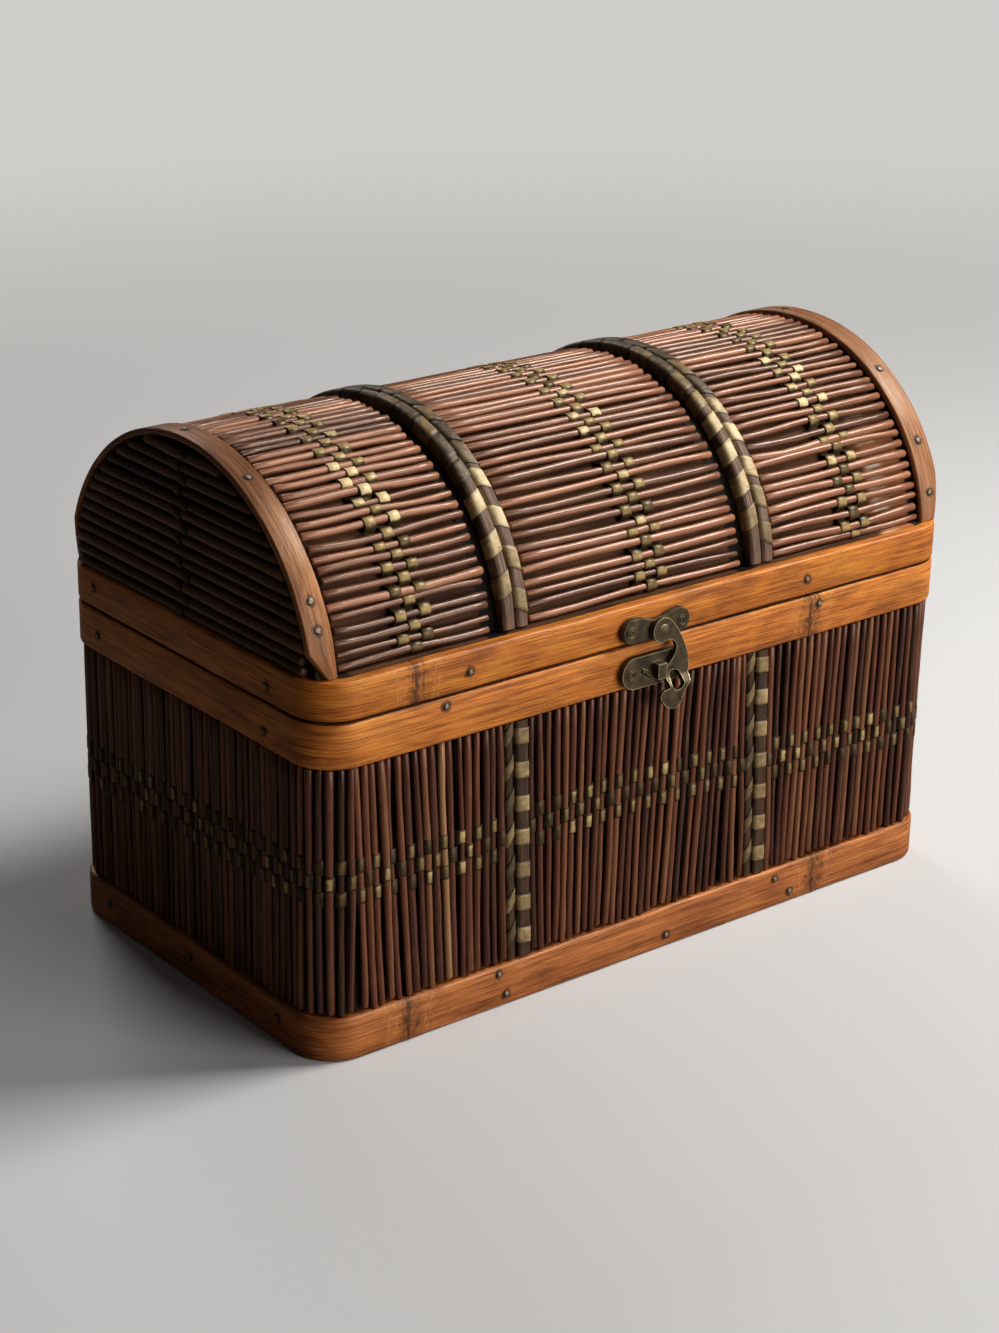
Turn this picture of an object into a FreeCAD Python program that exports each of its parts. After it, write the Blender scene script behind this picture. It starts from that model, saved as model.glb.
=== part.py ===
import FreeCAD, Part
import math
import os

os.makedirs("parts", exist_ok=True)

Vector = FreeCAD.Vector

# A keepsake box with a domed lid. Its wooden walls are covered with thin round reeds,
# held by woven flat strands and framed by bent bamboo strips. The lid is hinged at the
# back and closes with a swing hook at the front. Sizes are in millimetres.
# X runs along the front, Y from front to back, Z up. The origin is the middle of the base.

# Overall sizes
box_length = 250.0
box_depth = 138.5
body_height = 105.6
seam_gap = 0.3
corner_radius = 14.0

# Bamboo strips
rim_thickness = 4.0
base_band_height = 13.6
body_rim_height = 14.0
lid_rim_height = 12.2
rim_edge_round = 0.8

# Wooden boards
board_thickness = 4.0
bottom_thickness = 4.0
dome_board_thickness = 2.2
dome_board_tuck = 5.7

# Dome of the lid
arch_rise = 60.8
arch_side_clearance = 0.2
arch_band_thickness = 2.0
arch_band_width = 9.0
arch_band_inset = 1.0
arch_clip_width = 5.6
arch_clip_height = 8.0

# Reeds
reed_radius = 1.2
reed_lift = 1.8
reed_pitch = 3.0
reed_end_gap = 0.3
lid_reed_radius = 1.25
lid_reed_count = 52
lid_reed_end_gap = 1.2
end_reed_pitch = 3.65
end_reed_gap = 0.5

# Woven flat strands
strand_width = 4.2
strand_thickness = 0.3
strand_clearance = 0.08
strand_spacing = 4.5
body_weave_height = 54.0
lid_weave_from_left_end = 38.0
lid_weave_from_right_end = 39.0
lid_weave_off_middle = 0.5
end_strand_width = 3.2
end_strand_spacing = 3.5

# Wrapped straps, each a thin and a wide strand side by side
front_strap_places = (-53.3, 42.3)
thin_strand_width = 3.2
wide_strand_width = 5.0
strap_thickness = 3.2
lid_strap_thickness = 4.3
strap_gap = 0.4
strap_board_gap = 0.1
lid_strap_places = (-52.0, 45.0)
lid_strand_width = 5.0

# Nails
nail_head_radius = 1.0
nail_head_height = 0.5
nail_shank_radius = 0.5
shank_clearance = 0.05
nail_seat_gap = 0.1

# Clasp
pivot_x = -3.3
pivot_above_seam = 4.1
plate_middle = -4.1
plate_thickness = 2.2
plate_half_length = 13.1
plate_lobe_radius = 3.95
plate_waist_height = 6.2
plate_waist_half_width = 2.0
plate_swell = 0.5
plate_edge_margin = 0.9
plate_screw_inset = 3.1
screw_head_radius = 1.4
screw_head_height = 0.35
screw_shank_radius = 0.8
rivet_radius = 1.3
rivet_bore_clearance = 0.05
rivet_boss_radius = 3.0
rivet_head_radius = 2.0
rivet_head_height = 0.8
rivet_head_root = 0.5
catch_below_seam = 8.3
catch_lobe_radius = 5.0
catch_left_end = -16.9
catch_right_end = 8.3
catch_left_screw_inset = 3.5
catch_right_screw_inset = 4.1
catch_right_screw_drop = 2.7
hood_left = -5.4
hood_right = -2.2
hood_below_seam = 6.0
hood_height = 4.8
hood_wall = 0.7
hood_depth = 4.55
rib_length = 4.3
rib_radius = 0.9
rib_tilt = 32.0
rib_from_hood = 2.3
rib_below_middle = 0.8

# Swing hook. Its outline is given to the right of and above its rivet
hook_side_gap = 0.1
hook_back = 2.75
hook_thickness = 1.6
hook_head_radius = 3.9
tooth_gap = 0.4
bend_start_drop = 16.1
bend_end_drop = 18.3
bend_shoulder = 0.7
bend_radius = 1.0
tab_back = 5.4
tab_thickness = 1.5
hook_right_edge = ((2.6, 3.0), (4.6, 0.9), (7.5, -3.5), (9.8, -8.6), (10.6, -12.5), (10.3, -15.8),
                   (9.0, -18.2), (7.4, -20.1), (6.5, -22.0))
tab_right_middle = (5.3, -24.2)
tab_low = (2.8, -25.0)
tab_left_middle = (-0.7, -23.1)
tab_left = (-2.4, -20.3)
tab_top_middle = (-1.7, -19.0)
tab_top = (0.3, -18.5)
tooth_low = -18.1
tooth_high = -13.2
tooth_bulge = (0.2, 0.8)
tooth_top = (2.4, -11.8)
hook_inner_edge = ((3.6, -10.4), (5.0, -8.4), (5.5, -6.4), (4.6, -4.5), (2.1, -3.6))
hook_slot = ((2.6, -16.5), (2.8, -18.6), (4.2, -19.4), (6.0, -19.0), (7.2, -17.2), (7.1, -15.0),
             (5.6, -13.8), (3.3, -14.0))

# Hinges
hinge_places = (-72.0, 72.0)
hinge_width = 20.0
hinge_leaf_height = 8.5
hinge_leaf_thickness = 0.8
knuckle_radius = 2.1
knuckle_standoff = 0.3
knuckle_share = 0.34
knuckle_side_gap = 0.2
knuckle_clearance = 0.3
hinge_pin_radius = 0.85
hinge_pin_clearance = 0.05
hinge_screw_spacing = 11.0
hinge_screw_head_radius = 1.2
hinge_screw_head_height = 0.3
hinge_screw_shank_radius = 0.6

# Worked-out places
half_length = box_length / 2
half_depth = box_depth / 2
carcass_half_length = half_length - rim_thickness
carcass_half_depth = half_depth - rim_thickness
carcass_radius = corner_radius - rim_thickness
inner_half_length = carcass_half_length - board_thickness
inner_half_depth = carcass_half_depth - board_thickness
straight_half_length = half_length - corner_radius
straight_half_depth = half_depth - corner_radius
lid_bottom = body_height + seam_gap
lid_rim_top = lid_bottom + lid_rim_height
reed_zone_bottom = base_band_height
reed_zone_top = body_height - body_rim_height
lid_weave_places = (-half_length + lid_weave_from_left_end, lid_weave_off_middle,
                    half_length - lid_weave_from_right_end)
arch_centre_height = lid_rim_top - dome_board_tuck
arch_half_width = carcass_half_depth - arch_side_clearance
dome_half_width = arch_half_width - rim_thickness
dome_rise = arch_rise - rim_thickness
end_board_half_width = arch_half_width - arch_band_thickness
end_board_rise = arch_rise - arch_band_thickness
front_plane = -half_depth
back_plane = half_depth
pivot_height = lid_bottom + pivot_above_seam
hood_high = body_height - hood_below_seam
hood_low = hood_high - hood_height
hinge_axis_y = back_plane + knuckle_radius + knuckle_standoff
hinge_axis_z = body_height + seam_gap / 2


def save(shape, node):
    """Write one piece to its own file."""
    shape.exportStep("parts/" + node + ".step")


def group(shapes):
    """Hold several separate solids as one piece of the list."""
    return Part.makeCompound(shapes)


def block(x_low, x_high, y_low, y_high, z_low, z_high):
    """A box between two corners."""
    size = (x_high - x_low, y_high - y_low, z_high - z_low)
    return Part.makeBox(*size, Vector(x_low, y_low, z_low))


def mirrored(shape):
    """The same piece on the other end of the box."""
    return shape.mirror(Vector(0, 0, 0), Vector(1, 0, 0))


def rounded_block(half_x, half_y, radius, z_low, z_high, edge_round=0.0):
    """An upright block with four round corners and, if asked, rounded rims."""
    solid = block(-half_x, half_x, -half_y, half_y, z_low, z_high)
    corners = [e for e in solid.Edges if abs(e.tangentAt(e.FirstParameter).z) > 0.99]
    solid = solid.makeFillet(radius, corners)
    if edge_round > 0:
        rims = [e for e in solid.Edges if e.BoundBox.ZLength < 0.01]
        solid = solid.makeFillet(edge_round, rims)
    return solid


def bamboo_ring(z_low, z_high):
    """A bamboo strip bent round the box into a closed ring."""
    outside = rounded_block(half_length, half_depth, corner_radius, z_low, z_high, rim_edge_round)
    hollow = rounded_block(
        carcass_half_length, carcass_half_depth, carcass_radius, z_low - 1, z_high + 1
    )
    return outside.cut(hollow)


def fastener(place, inward, head_radius, head_height, shank_radius, shank_length):
    """A nail or screw: a low domed head on the surface and a shank going inward."""
    sphere_radius = (head_radius ** 2 + head_height ** 2) / (2 * head_height)
    half_turn = math.asin(head_radius / sphere_radius) / 2
    dome_middle = Vector(sphere_radius * math.sin(half_turn), 0,
                         head_height - sphere_radius * (1 - math.cos(half_turn)))
    corners = [Vector(0, 0, -shank_length), Vector(shank_radius, 0, -shank_length),
               Vector(shank_radius, 0, 0), Vector(head_radius, 0, 0)]
    top = Vector(0, 0, head_height)
    edges = [Part.LineSegment(a, b).toShape() for a, b in zip(corners, corners[1:])]
    edges.append(Part.Arc(corners[-1], dome_middle, top).toShape())
    edges.append(Part.LineSegment(top, corners[0]).toShape())
    solid = Part.Face(Part.Wire(edges)).revolve(Vector(0, 0, 0), Vector(0, 0, 1), 360)
    turn = FreeCAD.Rotation(Vector(0, 0, -1), inward)
    solid.Placement = FreeCAD.Placement(place, turn)
    return solid


def drilled(shape, places, inward, radius, depth):
    """The piece with a round hole at each place."""
    back_off = 1.0
    drills = [
        Part.makeCylinder(radius, depth + back_off, place - inward * back_off, inward)
        for place in places
    ]
    return shape.cut(group(drills))


# Boards of the body
def corner_posts(z_low, z_high):
    """Four quarter-round posts, hollowed to the inside faces of the boards."""
    outside = rounded_block(carcass_half_length, carcass_half_depth, carcass_radius, z_low, z_high)
    hollow = block(
        -inner_half_length, inner_half_length, -inner_half_depth, inner_half_depth, z_low, z_high
    )
    ring = outside.cut(hollow)
    posts = []
    for x_side in (-1, 1):
        for y_side in (-1, 1):
            x_pair = sorted((x_side * straight_half_length, x_side * half_length))
            y_pair = sorted((y_side * straight_half_depth, y_side * half_depth))
            corner = block(x_pair[0], x_pair[1], y_pair[0], y_pair[1], z_low, z_high)
            posts.append(ring.common(corner))
    return group(posts)


def long_board(y_side, z_low, z_high):
    """A board along the front or the back, between the corner posts."""
    y_pair = sorted((y_side * inner_half_depth, y_side * carcass_half_depth))
    return block(-straight_half_length, straight_half_length, y_pair[0], y_pair[1], z_low, z_high)


def short_board(x_side, z_low, z_high):
    """A board across one end, between the corner posts."""
    x_pair = sorted((x_side * inner_half_length, x_side * carcass_half_length))
    return block(x_pair[0], x_pair[1], -straight_half_depth, straight_half_depth, z_low, z_high)


def make_body_boards():
    save(rounded_block(carcass_half_length, carcass_half_depth, carcass_radius,
                       0, bottom_thickness), "bottom_board")
    save(long_board(-1, bottom_thickness, body_height), "front_board")
    save(long_board(1, bottom_thickness, body_height), "back_board")
    save(short_board(-1, bottom_thickness, body_height), "left_board")
    save(short_board(1, bottom_thickness, body_height), "right_board")
    save(corner_posts(bottom_thickness, body_height), "body_corner_posts")


# Reeds stand round the body at an even pitch. A place is a reed's middle and the
# direction that points away from the box there.
def outward_at(point):
    """Direction away from the straight core of the box."""
    core_x = max(-straight_half_length, min(straight_half_length, point.x))
    core_y = max(-straight_half_depth, min(straight_half_depth, point.y))
    away = Vector(point.x - core_x, point.y - core_y, 0)
    return away.normalize()


def even_places(path, pitch):
    """Places along a path at about one pitch from each other."""
    count = int(path.Length / pitch) + 1
    points = path.discretize(Number=count)
    return [(point, outward_at(point)) for point in points]


def strap_edges(middle):
    """The left and right limits of a pair of wrapped strands on the body."""
    half = (thin_strand_width + wide_strand_width + strap_gap) / 2
    return middle - half, middle + half


def side_path(x_side, strap_edge):
    """From the front strap round one end of the box to the back strap."""
    out_x = carcass_half_length + reed_lift
    out_y = carcass_half_depth + reed_lift
    radius = carcass_radius + reed_lift
    diagonal = radius * math.sqrt(0.5)
    start_x = strap_edge + x_side * (reed_radius + strap_gap)
    front_turn = Vector(x_side * (straight_half_length + diagonal), -straight_half_depth - diagonal, 0)
    back_turn = Vector(front_turn.x, -front_turn.y, 0)
    front_start = Vector(start_x, -out_y, 0)
    front_end = Vector(x_side * straight_half_length, -out_y, 0)
    side_start = Vector(x_side * out_x, -straight_half_depth, 0)
    side_end = Vector(x_side * out_x, straight_half_depth, 0)
    back_start = Vector(x_side * straight_half_length, out_y, 0)
    back_end = Vector(start_x, out_y, 0)
    edges = [
        Part.LineSegment(front_start, front_end).toShape(),
        Part.Arc(front_end, front_turn, side_start).toShape(),
        Part.LineSegment(side_start, side_end).toShape(),
        Part.Arc(side_end, back_turn, back_start).toShape(),
        Part.LineSegment(back_start, back_end).toShape(),
    ]
    return Part.Wire(edges)


def middle_path(y_side):
    """Along the front or back, between the two strap pairs."""
    out_y = y_side * (carcass_half_depth + reed_lift)
    margin = reed_radius + strap_gap
    start_x = strap_edges(front_strap_places[0])[1] + margin
    end_x = strap_edges(front_strap_places[1])[0] - margin
    return Part.Wire([Part.LineSegment(Vector(start_x, out_y, 0), Vector(end_x, out_y, 0)).toShape()])


def body_reed_runs():
    """The four runs of reeds between the straps."""
    left = side_path(-1, strap_edges(front_strap_places[0])[0])
    right = side_path(1, strap_edges(front_strap_places[1])[1])
    paths = (left, middle_path(-1), right, middle_path(1))
    return [even_places(path, reed_pitch) for path in paths]


def upright_reed(point):
    """One reed between the base band and the body rim."""
    low = reed_zone_bottom + reed_end_gap
    length = reed_zone_top - reed_end_gap - low
    return Part.makeCylinder(reed_radius, length, Vector(point.x, point.y, low))


def face_name(away):
    """Which side of the box a reed stands on."""
    if away.y < -0.999:
        return "front_reeds"
    if away.y > 0.999:
        return "back_reeds"
    if away.x < -0.999:
        return "left_reeds"
    if away.x > 0.999:
        return "right_reeds"
    return "corner_reeds"


def make_body_reeds(runs):
    sides = {}
    for run in runs:
        for point, away in run:
            sides.setdefault(face_name(away), []).append(upright_reed(point))
    for name, reeds in sides.items():
        save(group(reeds), name)


# A woven strand passes outside one reed and inside the next. Its two faces are arcs
# that meet half-way between the reeds.
def strand_points(places, radius, first_side):
    """Half-way points, and for each reed the point on the strand's middle line."""
    reach = radius + strand_thickness / 2 + strand_clearance
    middles = [(a[0] + b[0]) * 0.5 for a, b in zip(places, places[1:])]
    crowns = []
    for index in range(1, len(places) - 1):
        side = first_side if index % 2 else -first_side
        crowns.append((places[index][0], places[index][1] * side, reach))
    return middles, crowns


def woven_strand(places, radius, first_side, width_vector):
    """One flat strand woven through a run of reeds, as wide as the given vector."""
    middles, crowns = strand_points(places, radius, first_side)
    half = strand_thickness / 2
    outer = []
    inner = []
    for index, (centre, away, reach) in enumerate(crowns):
        start = middles[index]
        end = middles[index + 1]
        along = (end - start).normalize()
        top = centre + away * (reach + half)
        foot = centre + away * (reach - half)
        over = Part.Arc(start - along * half, top, end + along * half).toShape()
        under = Part.Arc(start + along * half, foot, end - along * half).toShape()
        if index % 2 == 0:
            outer.append(over)
            inner.append(under)
        else:
            outer.append(under)
            inner.append(over)
    return ribbon_solid(outer, inner, width_vector)


def joined(first, second):
    """The point where two neighbouring arcs meet, taken half-way between their ends."""
    return (first.Vertexes[-1].Point + second.Vertexes[0].Point) * 0.5


def matched_arcs(arcs):
    """The same arcs with every pair of neighbours meeting in one point."""
    matched = []
    start = arcs[0].Vertexes[0].Point
    for index, arc in enumerate(arcs):
        middle = arc.valueAt((arc.FirstParameter + arc.LastParameter) / 2)
        last = index == len(arcs) - 1
        end = arc.Vertexes[-1].Point if last else joined(arc, arcs[index + 1])
        matched.append(Part.Arc(start, middle, end).toShape())
        start = end
    return matched


def ribbon_solid(outer, inner, width_vector):
    """A ribbon between two chains of arcs, closed at both ends."""
    outer = matched_arcs(outer)
    inner = matched_arcs(inner)
    first_cap = Part.LineSegment(inner[0].Vertexes[0].Point, outer[0].Vertexes[0].Point)
    last_cap = Part.LineSegment(outer[-1].Vertexes[-1].Point, inner[-1].Vertexes[-1].Point)
    edges = outer + [last_cap.toShape()] + inner[::-1] + [first_cap.toShape()]
    wire = Part.Wire(Part.__sortEdges__(edges))
    return Part.Face(wire).extrude(width_vector)


def make_body_weave(runs):
    """Three strands round the body, the middle one out of step with its neighbours."""
    rows = (("body_weave_upper", 1, 1), ("body_weave_middle", 0, -1), ("body_weave_lower", -1, 1))
    for name, row, first_side in rows:
        low = body_weave_height + row * strand_spacing - strand_width / 2
        strands = []
        for run in runs:
            lifted = [(point + Vector(0, 0, low), away) for point, away in run]
            strands.append(woven_strand(lifted, reed_radius, first_side, Vector(0, 0, strand_width)))
        save(group(strands), name)


# Wrapped straps on the front and back
def strap_pair(middle, y_side):
    """A thin and a wide strand lying side by side on a board."""
    left, right = strap_edges(middle)
    near = y_side * (carcass_half_depth + strap_board_gap)
    far = near + y_side * strap_thickness
    y_low, y_high = sorted((near, far))
    z_low = reed_zone_bottom + reed_end_gap
    z_high = reed_zone_top - reed_end_gap
    thin = block(left, left + thin_strand_width, y_low, y_high, z_low, z_high)
    wide = block(right - wide_strand_width, right, y_low, y_high, z_low, z_high)
    return [thin, wide]


def make_body_straps():
    for name, y_side in (("front_straps", -1), ("back_straps", 1)):
        strands = []
        for middle in front_strap_places:
            strands += strap_pair(middle, y_side)
        save(group(strands), name)


# Nails through the bamboo strips, as (place along the face, height)
into_front = Vector(0, 1, 0)
into_back = Vector(0, -1, 0)
into_left = Vector(1, 0, 0)
into_right = Vector(-1, 0, 0)
base_band_nail_places = (
    (into_front, (-60, 11.0)), (into_front, (-57, 3.7)), (into_front, (7, 4.0)), (into_front, (53.5, 10.0)),
    (into_front, (60.5, 3.7)), (into_left, (0, 8.0)), (into_left, (-47, 8.0)), (into_left, (47, 7.0)),
    (into_right, (-40, 7.5)), (into_right, (38, 8.0)), (into_back, (-58, 7.0)), (into_back, (2, 5.0)),
    (into_back, (55, 8.0)),
)
body_rim_nail_places = (
    (into_front, (-81, -2.8)), (into_front, (66, -3.6)), (into_left, (48, -7.9)), (into_left, (-42, -8.6)),
    (into_right, (-45, -7.0)), (into_right, (44, -6.0)), (into_back, (-25, -6.0)), (into_back, (96, -7.0)),
)
lid_rim_nail_places = (
    (into_front, (-72.5, 5.4)), (into_front, (60, 5.4)), (into_left, (49.5, 6.8)), (into_left, (-44, 5.4)),
    (into_right, (-46, 6.0)), (into_right, (42, 6.4)), (into_back, (-30, 6.0)), (into_back, (98, 5.6)),
)


def surface_point(inward, along, height):
    """A point on the outside of the bamboo on one of the four faces."""
    if abs(inward.y) > 0.5:
        return Vector(along, -inward.y * half_depth, height)
    return Vector(-inward.x * half_length, along, height)


def band_nails(places, height_zero):
    """The nails of one band, and the faces and points they stand at."""
    nails = []
    points = []
    for inward, (along, height) in places:
        point = surface_point(inward, along, height_zero + height)
        points.append((inward, point))
        nails.append(fastener(point, inward, nail_head_radius, nail_head_height,
                              nail_shank_radius, rim_thickness))
    return nails, points


def pierced(shape, points):
    """A band with a hole for each of its nails."""
    radius = nail_shank_radius + shank_clearance
    for inward, point in points:
        shape = drilled(shape, [point], inward, radius, rim_thickness + 1)
    return shape


# Clasp: plates, screws, rivet and hook
def screw_points(x_places, height):
    """Points on the front of a clasp plate."""
    y = front_plane - plate_thickness
    return [Vector(x, y, height) for x in x_places]


latch_screw_offset = plate_half_length - plate_screw_inset
latch_screw_height = lid_bottom + plate_edge_margin + plate_lobe_radius
latch_screw_places = screw_points(
    (plate_middle - latch_screw_offset, plate_middle + latch_screw_offset), latch_screw_height
)
catch_height = body_height - catch_below_seam
catch_screw_places = (
    screw_points((catch_left_end + catch_left_screw_inset,), catch_height)
    + screw_points((catch_right_end - catch_right_screw_inset,), catch_height - catch_right_screw_drop)
)


def clasp_screws(places):
    """Screws with low domed heads through a plate into the bamboo."""
    length = plate_thickness + rim_thickness
    return group([
        fastener(place, into_front, screw_head_radius, screw_head_height, screw_shank_radius, length)
        for place in places
    ])


def screw_holes(shape, places):
    """The piece with clearance holes for the clasp screws."""
    depth = plate_thickness + rim_thickness + 1
    return drilled(shape, places, into_front, screw_shank_radius + shank_clearance, depth)


def face_from_outline(edges, depth_start, depth):
    """A flat piece standing in front of the box, from an outline in its front view."""
    wire = Part.Wire([edge.toShape() for edge in edges])
    solid = Part.Face(wire).extrude(Vector(0, -depth, 0))
    solid.translate(Vector(0, front_plane - depth_start, 0))
    return solid


def make_latch_plate():
    """The upper plate: two round lobes joined by a lower waist."""
    low = lid_bottom + plate_edge_margin
    middle_z = low + plate_lobe_radius
    high = low + 2 * plate_lobe_radius
    waist = low + plate_waist_height
    left = plate_middle - plate_half_length + plate_lobe_radius
    right = plate_middle + plate_half_length - plate_lobe_radius
    waist_left = plate_middle - plate_waist_half_width
    waist_right = plate_middle + plate_waist_half_width
    slope = (high + waist) / 2 + plate_swell
    swell = plate_lobe_radius * 0.75

    def at(x, z):
        return Vector(x, 0, z)

    edges = [
        Part.LineSegment(at(left, low), at(right, low)),
        Part.Arc(at(right, low), at(right + plate_lobe_radius, middle_z), at(right, high)),
        Part.Arc(at(right, high), at(right - swell, slope), at(waist_right, waist)),
        Part.LineSegment(at(waist_right, waist), at(waist_left, waist)),
        Part.Arc(at(waist_left, waist), at(left + swell, slope), at(left, high)),
        Part.Arc(at(left, high), at(left - plate_lobe_radius, middle_z), at(left, low)),
    ]
    plate = face_from_outline(edges, 0, plate_thickness)
    save(screw_holes(plate, latch_screw_places), "latch_plate")
    save(clasp_screws(latch_screw_places), "latch_plate_screws")


def stadium(left, right, middle_z, radius, depth_start, depth):
    """A flat bar with round ends, standing in front of the box."""
    low = middle_z - radius
    high = middle_z + radius

    def at(x, z):
        return Vector(x, 0, z)

    edges = [
        Part.LineSegment(at(left + radius, low), at(right - radius, low)),
        Part.Arc(at(right - radius, low), at(right, middle_z), at(right - radius, high)),
        Part.LineSegment(at(right - radius, high), at(left + radius, high)),
        Part.Arc(at(left + radius, high), at(left, middle_z), at(left + radius, low)),
    ]
    return face_from_outline(edges, depth_start, depth)


def front_block(x_low, x_high, z_low, z_high, depth_low, depth_high):
    """A box given by how far it stands out of the front of the bamboo."""
    return block(x_low, x_high, front_plane - depth_high, front_plane - depth_low, z_low, z_high)


def make_catch():
    """The lower plate, with a hood open to the right and below, and a small raised rib."""
    plate = stadium(catch_left_end, catch_right_end, catch_height, catch_lobe_radius, 0, plate_thickness)
    hood_front = hood_depth + hood_wall
    shell = front_block(hood_left, hood_right, hood_low, hood_high, plate_thickness, hood_front)
    room = front_block(hood_left + hood_wall, hood_right + 1, hood_low - 1, hood_high - hood_wall,
                       0, hood_depth)
    hood = shell.cut(room)
    rib = Part.makeCylinder(rib_radius, rib_length, Vector(-rib_length / 2, 0, 0), Vector(1, 0, 0))
    rib.rotate(Vector(0, 0, 0), Vector(0, 1, 0), rib_tilt)
    rib.translate(Vector(hood_left - rib_from_hood, front_plane - plate_thickness,
                         catch_height - rib_below_middle))
    plate = screw_holes(plate, catch_screw_places)
    rib = rib.cut(front_block(-half_length, half_length, 0, body_height, 0, plate_thickness / 2))
    save(plate.fuse([hood, rib]), "catch_plate")
    save(clasp_screws(catch_screw_places), "catch_screws")


def make_rivet():
    """The rivet: a boss on the plate, a shaft through the hook and a domed head."""
    def at(depth):
        return Vector(pivot_x, front_plane - depth, pivot_height)

    boss_top = hook_back - hook_side_gap
    head_low = hook_back + hook_thickness + hook_side_gap
    boss = Part.makeCylinder(rivet_boss_radius, boss_top - plate_thickness, at(plate_thickness), into_back)
    shaft = Part.makeCylinder(rivet_radius, head_low - plate_thickness, at(plate_thickness), into_back)
    head = fastener(at(head_low), into_front, rivet_head_radius, rivet_head_height, rivet_radius,
                     rivet_head_root)
    save(boss.fuse([shaft, head]), "hook_rivet")


def by_rivet(place):
    """A point in front of the rivet's height, from how far right of and above it the place is."""
    return Vector(pivot_x + place[0], 0, pivot_height + place[1])


def curve_through(places, closed=False):
    """A smooth curve through places given from the rivet."""
    curve = Part.BSplineCurve()
    curve.interpolate(Points=[by_rivet(place) for place in places], PeriodicFlag=closed)
    return curve


def hook_outline():
    """The hook's outer edge: head, stem, finger tab, tooth and back along the inner edge."""
    head_top = (0, hook_head_radius)
    head_low = (0, -hook_head_radius)
    head_side = (-hook_head_radius, 0)
    tooth_x = hood_right + tooth_gap - pivot_x
    tooth_foot = (tooth_x, tooth_low)
    tooth_head = (tooth_x, tooth_high)
    tooth_round = (tooth_x + tooth_bulge[0], tooth_high + tooth_bulge[1])
    return [
        curve_through((head_top,) + hook_right_edge),
        Part.Arc(by_rivet(hook_right_edge[-1]), by_rivet(tab_right_middle), by_rivet(tab_low)),
        Part.Arc(by_rivet(tab_low), by_rivet(tab_left_middle), by_rivet(tab_left)),
        Part.Arc(by_rivet(tab_left), by_rivet(tab_top_middle), by_rivet(tab_top)),
        Part.LineSegment(by_rivet(tab_top), by_rivet(tooth_foot)),
        Part.LineSegment(by_rivet(tooth_foot), by_rivet(tooth_head)),
        Part.Arc(by_rivet(tooth_head), by_rivet(tooth_round), by_rivet(tooth_top)),
        curve_through((tooth_top,) + hook_inner_edge + (head_low,)),
        Part.Arc(by_rivet(head_low), by_rivet(head_side), by_rivet(head_top)),
    ]


def hook_side_band():
    """The hook's side view carried across the box: straight, then bent forward of the hood."""
    hook_front = hook_back + hook_thickness
    tab_front = tab_back + tab_thickness
    high = hook_head_radius + 1
    low = tab_low[1] - 1
    corners = [
        (hook_back, high), (hook_back, -bend_start_drop), (tab_back, -bend_end_drop), (tab_back, low),
        (tab_front, low), (tab_front, bend_shoulder - bend_end_drop),
        (hook_front, bend_shoulder - bend_start_drop), (hook_front, high),
    ]
    points = [Vector(-half_length, front_plane - depth, pivot_height + z) for depth, z in corners]
    face = Part.Face(Part.makePolygon(points + points[:1]))
    band = face.extrude(Vector(box_length, 0, 0))
    highest_bend = pivot_height + bend_shoulder - bend_start_drop
    bends = [
        edge for edge in band.Edges
        if edge.BoundBox.XLength > box_length / 2
        and pivot_height - bend_end_drop - 0.01 < edge.BoundBox.ZMin < highest_bend + 0.01
    ]
    return band.makeFillet(bend_radius, bends)


def make_hook():
    """The swing hook: a head, a curved stem, a tooth with a closed loop, and a finger tab."""
    reach = tab_back + tab_thickness + 1
    flat = face_from_outline(hook_outline(), 0, reach)
    loop = face_from_outline([curve_through(hook_slot, closed=True)], 0, reach)
    bore = Part.makeCylinder(rivet_radius + rivet_bore_clearance, half_depth,
                             Vector(pivot_x, front_plane, pivot_height), into_back)
    save(flat.cut([loop, bore]).common(hook_side_band()), "latch_hook")


# Hinges
def hinge_screw_points(z_side):
    """Two screw places on each hinge leaf, above or below the seam."""
    y = back_plane + hinge_leaf_thickness
    z = hinge_axis_z + z_side * (hinge_leaf_height * 0.62)
    points = []
    for middle in hinge_places:
        for side in (-1, 1):
            points.append(Vector(middle + side * hinge_screw_spacing / 2, y, z))
    return points


def hinge_screws(z_side):
    """The screws of the upper or lower hinge leaves."""
    length = hinge_leaf_thickness + rim_thickness
    return group([
        fastener(point, into_back, hinge_screw_head_radius, hinge_screw_head_height,
                 hinge_screw_shank_radius, length)
        for point in hinge_screw_points(z_side)
    ])


def hinge_holes(shape, z_side):
    """The piece with clearance holes for the hinge screws."""
    depth = hinge_leaf_thickness + rim_thickness + 1
    radius = hinge_screw_shank_radius + shank_clearance
    return drilled(shape, hinge_screw_points(z_side), into_back, radius, depth)


def knuckles(middle, outer_pair, radius, extra):
    """The barrel pieces of one leaf: the outer pair or the middle one."""
    middle_half = hinge_width * knuckle_share / 2
    outer_start = middle_half + knuckle_side_gap
    end = hinge_width / 2
    spans = [(-end, -outer_start), (outer_start, end)] if outer_pair else [(-middle_half, middle_half)]
    return [
        Part.makeCylinder(radius, high - low + 2 * extra,
                          Vector(middle + low - extra, hinge_axis_y, hinge_axis_z), Vector(1, 0, 0))
        for low, high in spans
    ]


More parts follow.
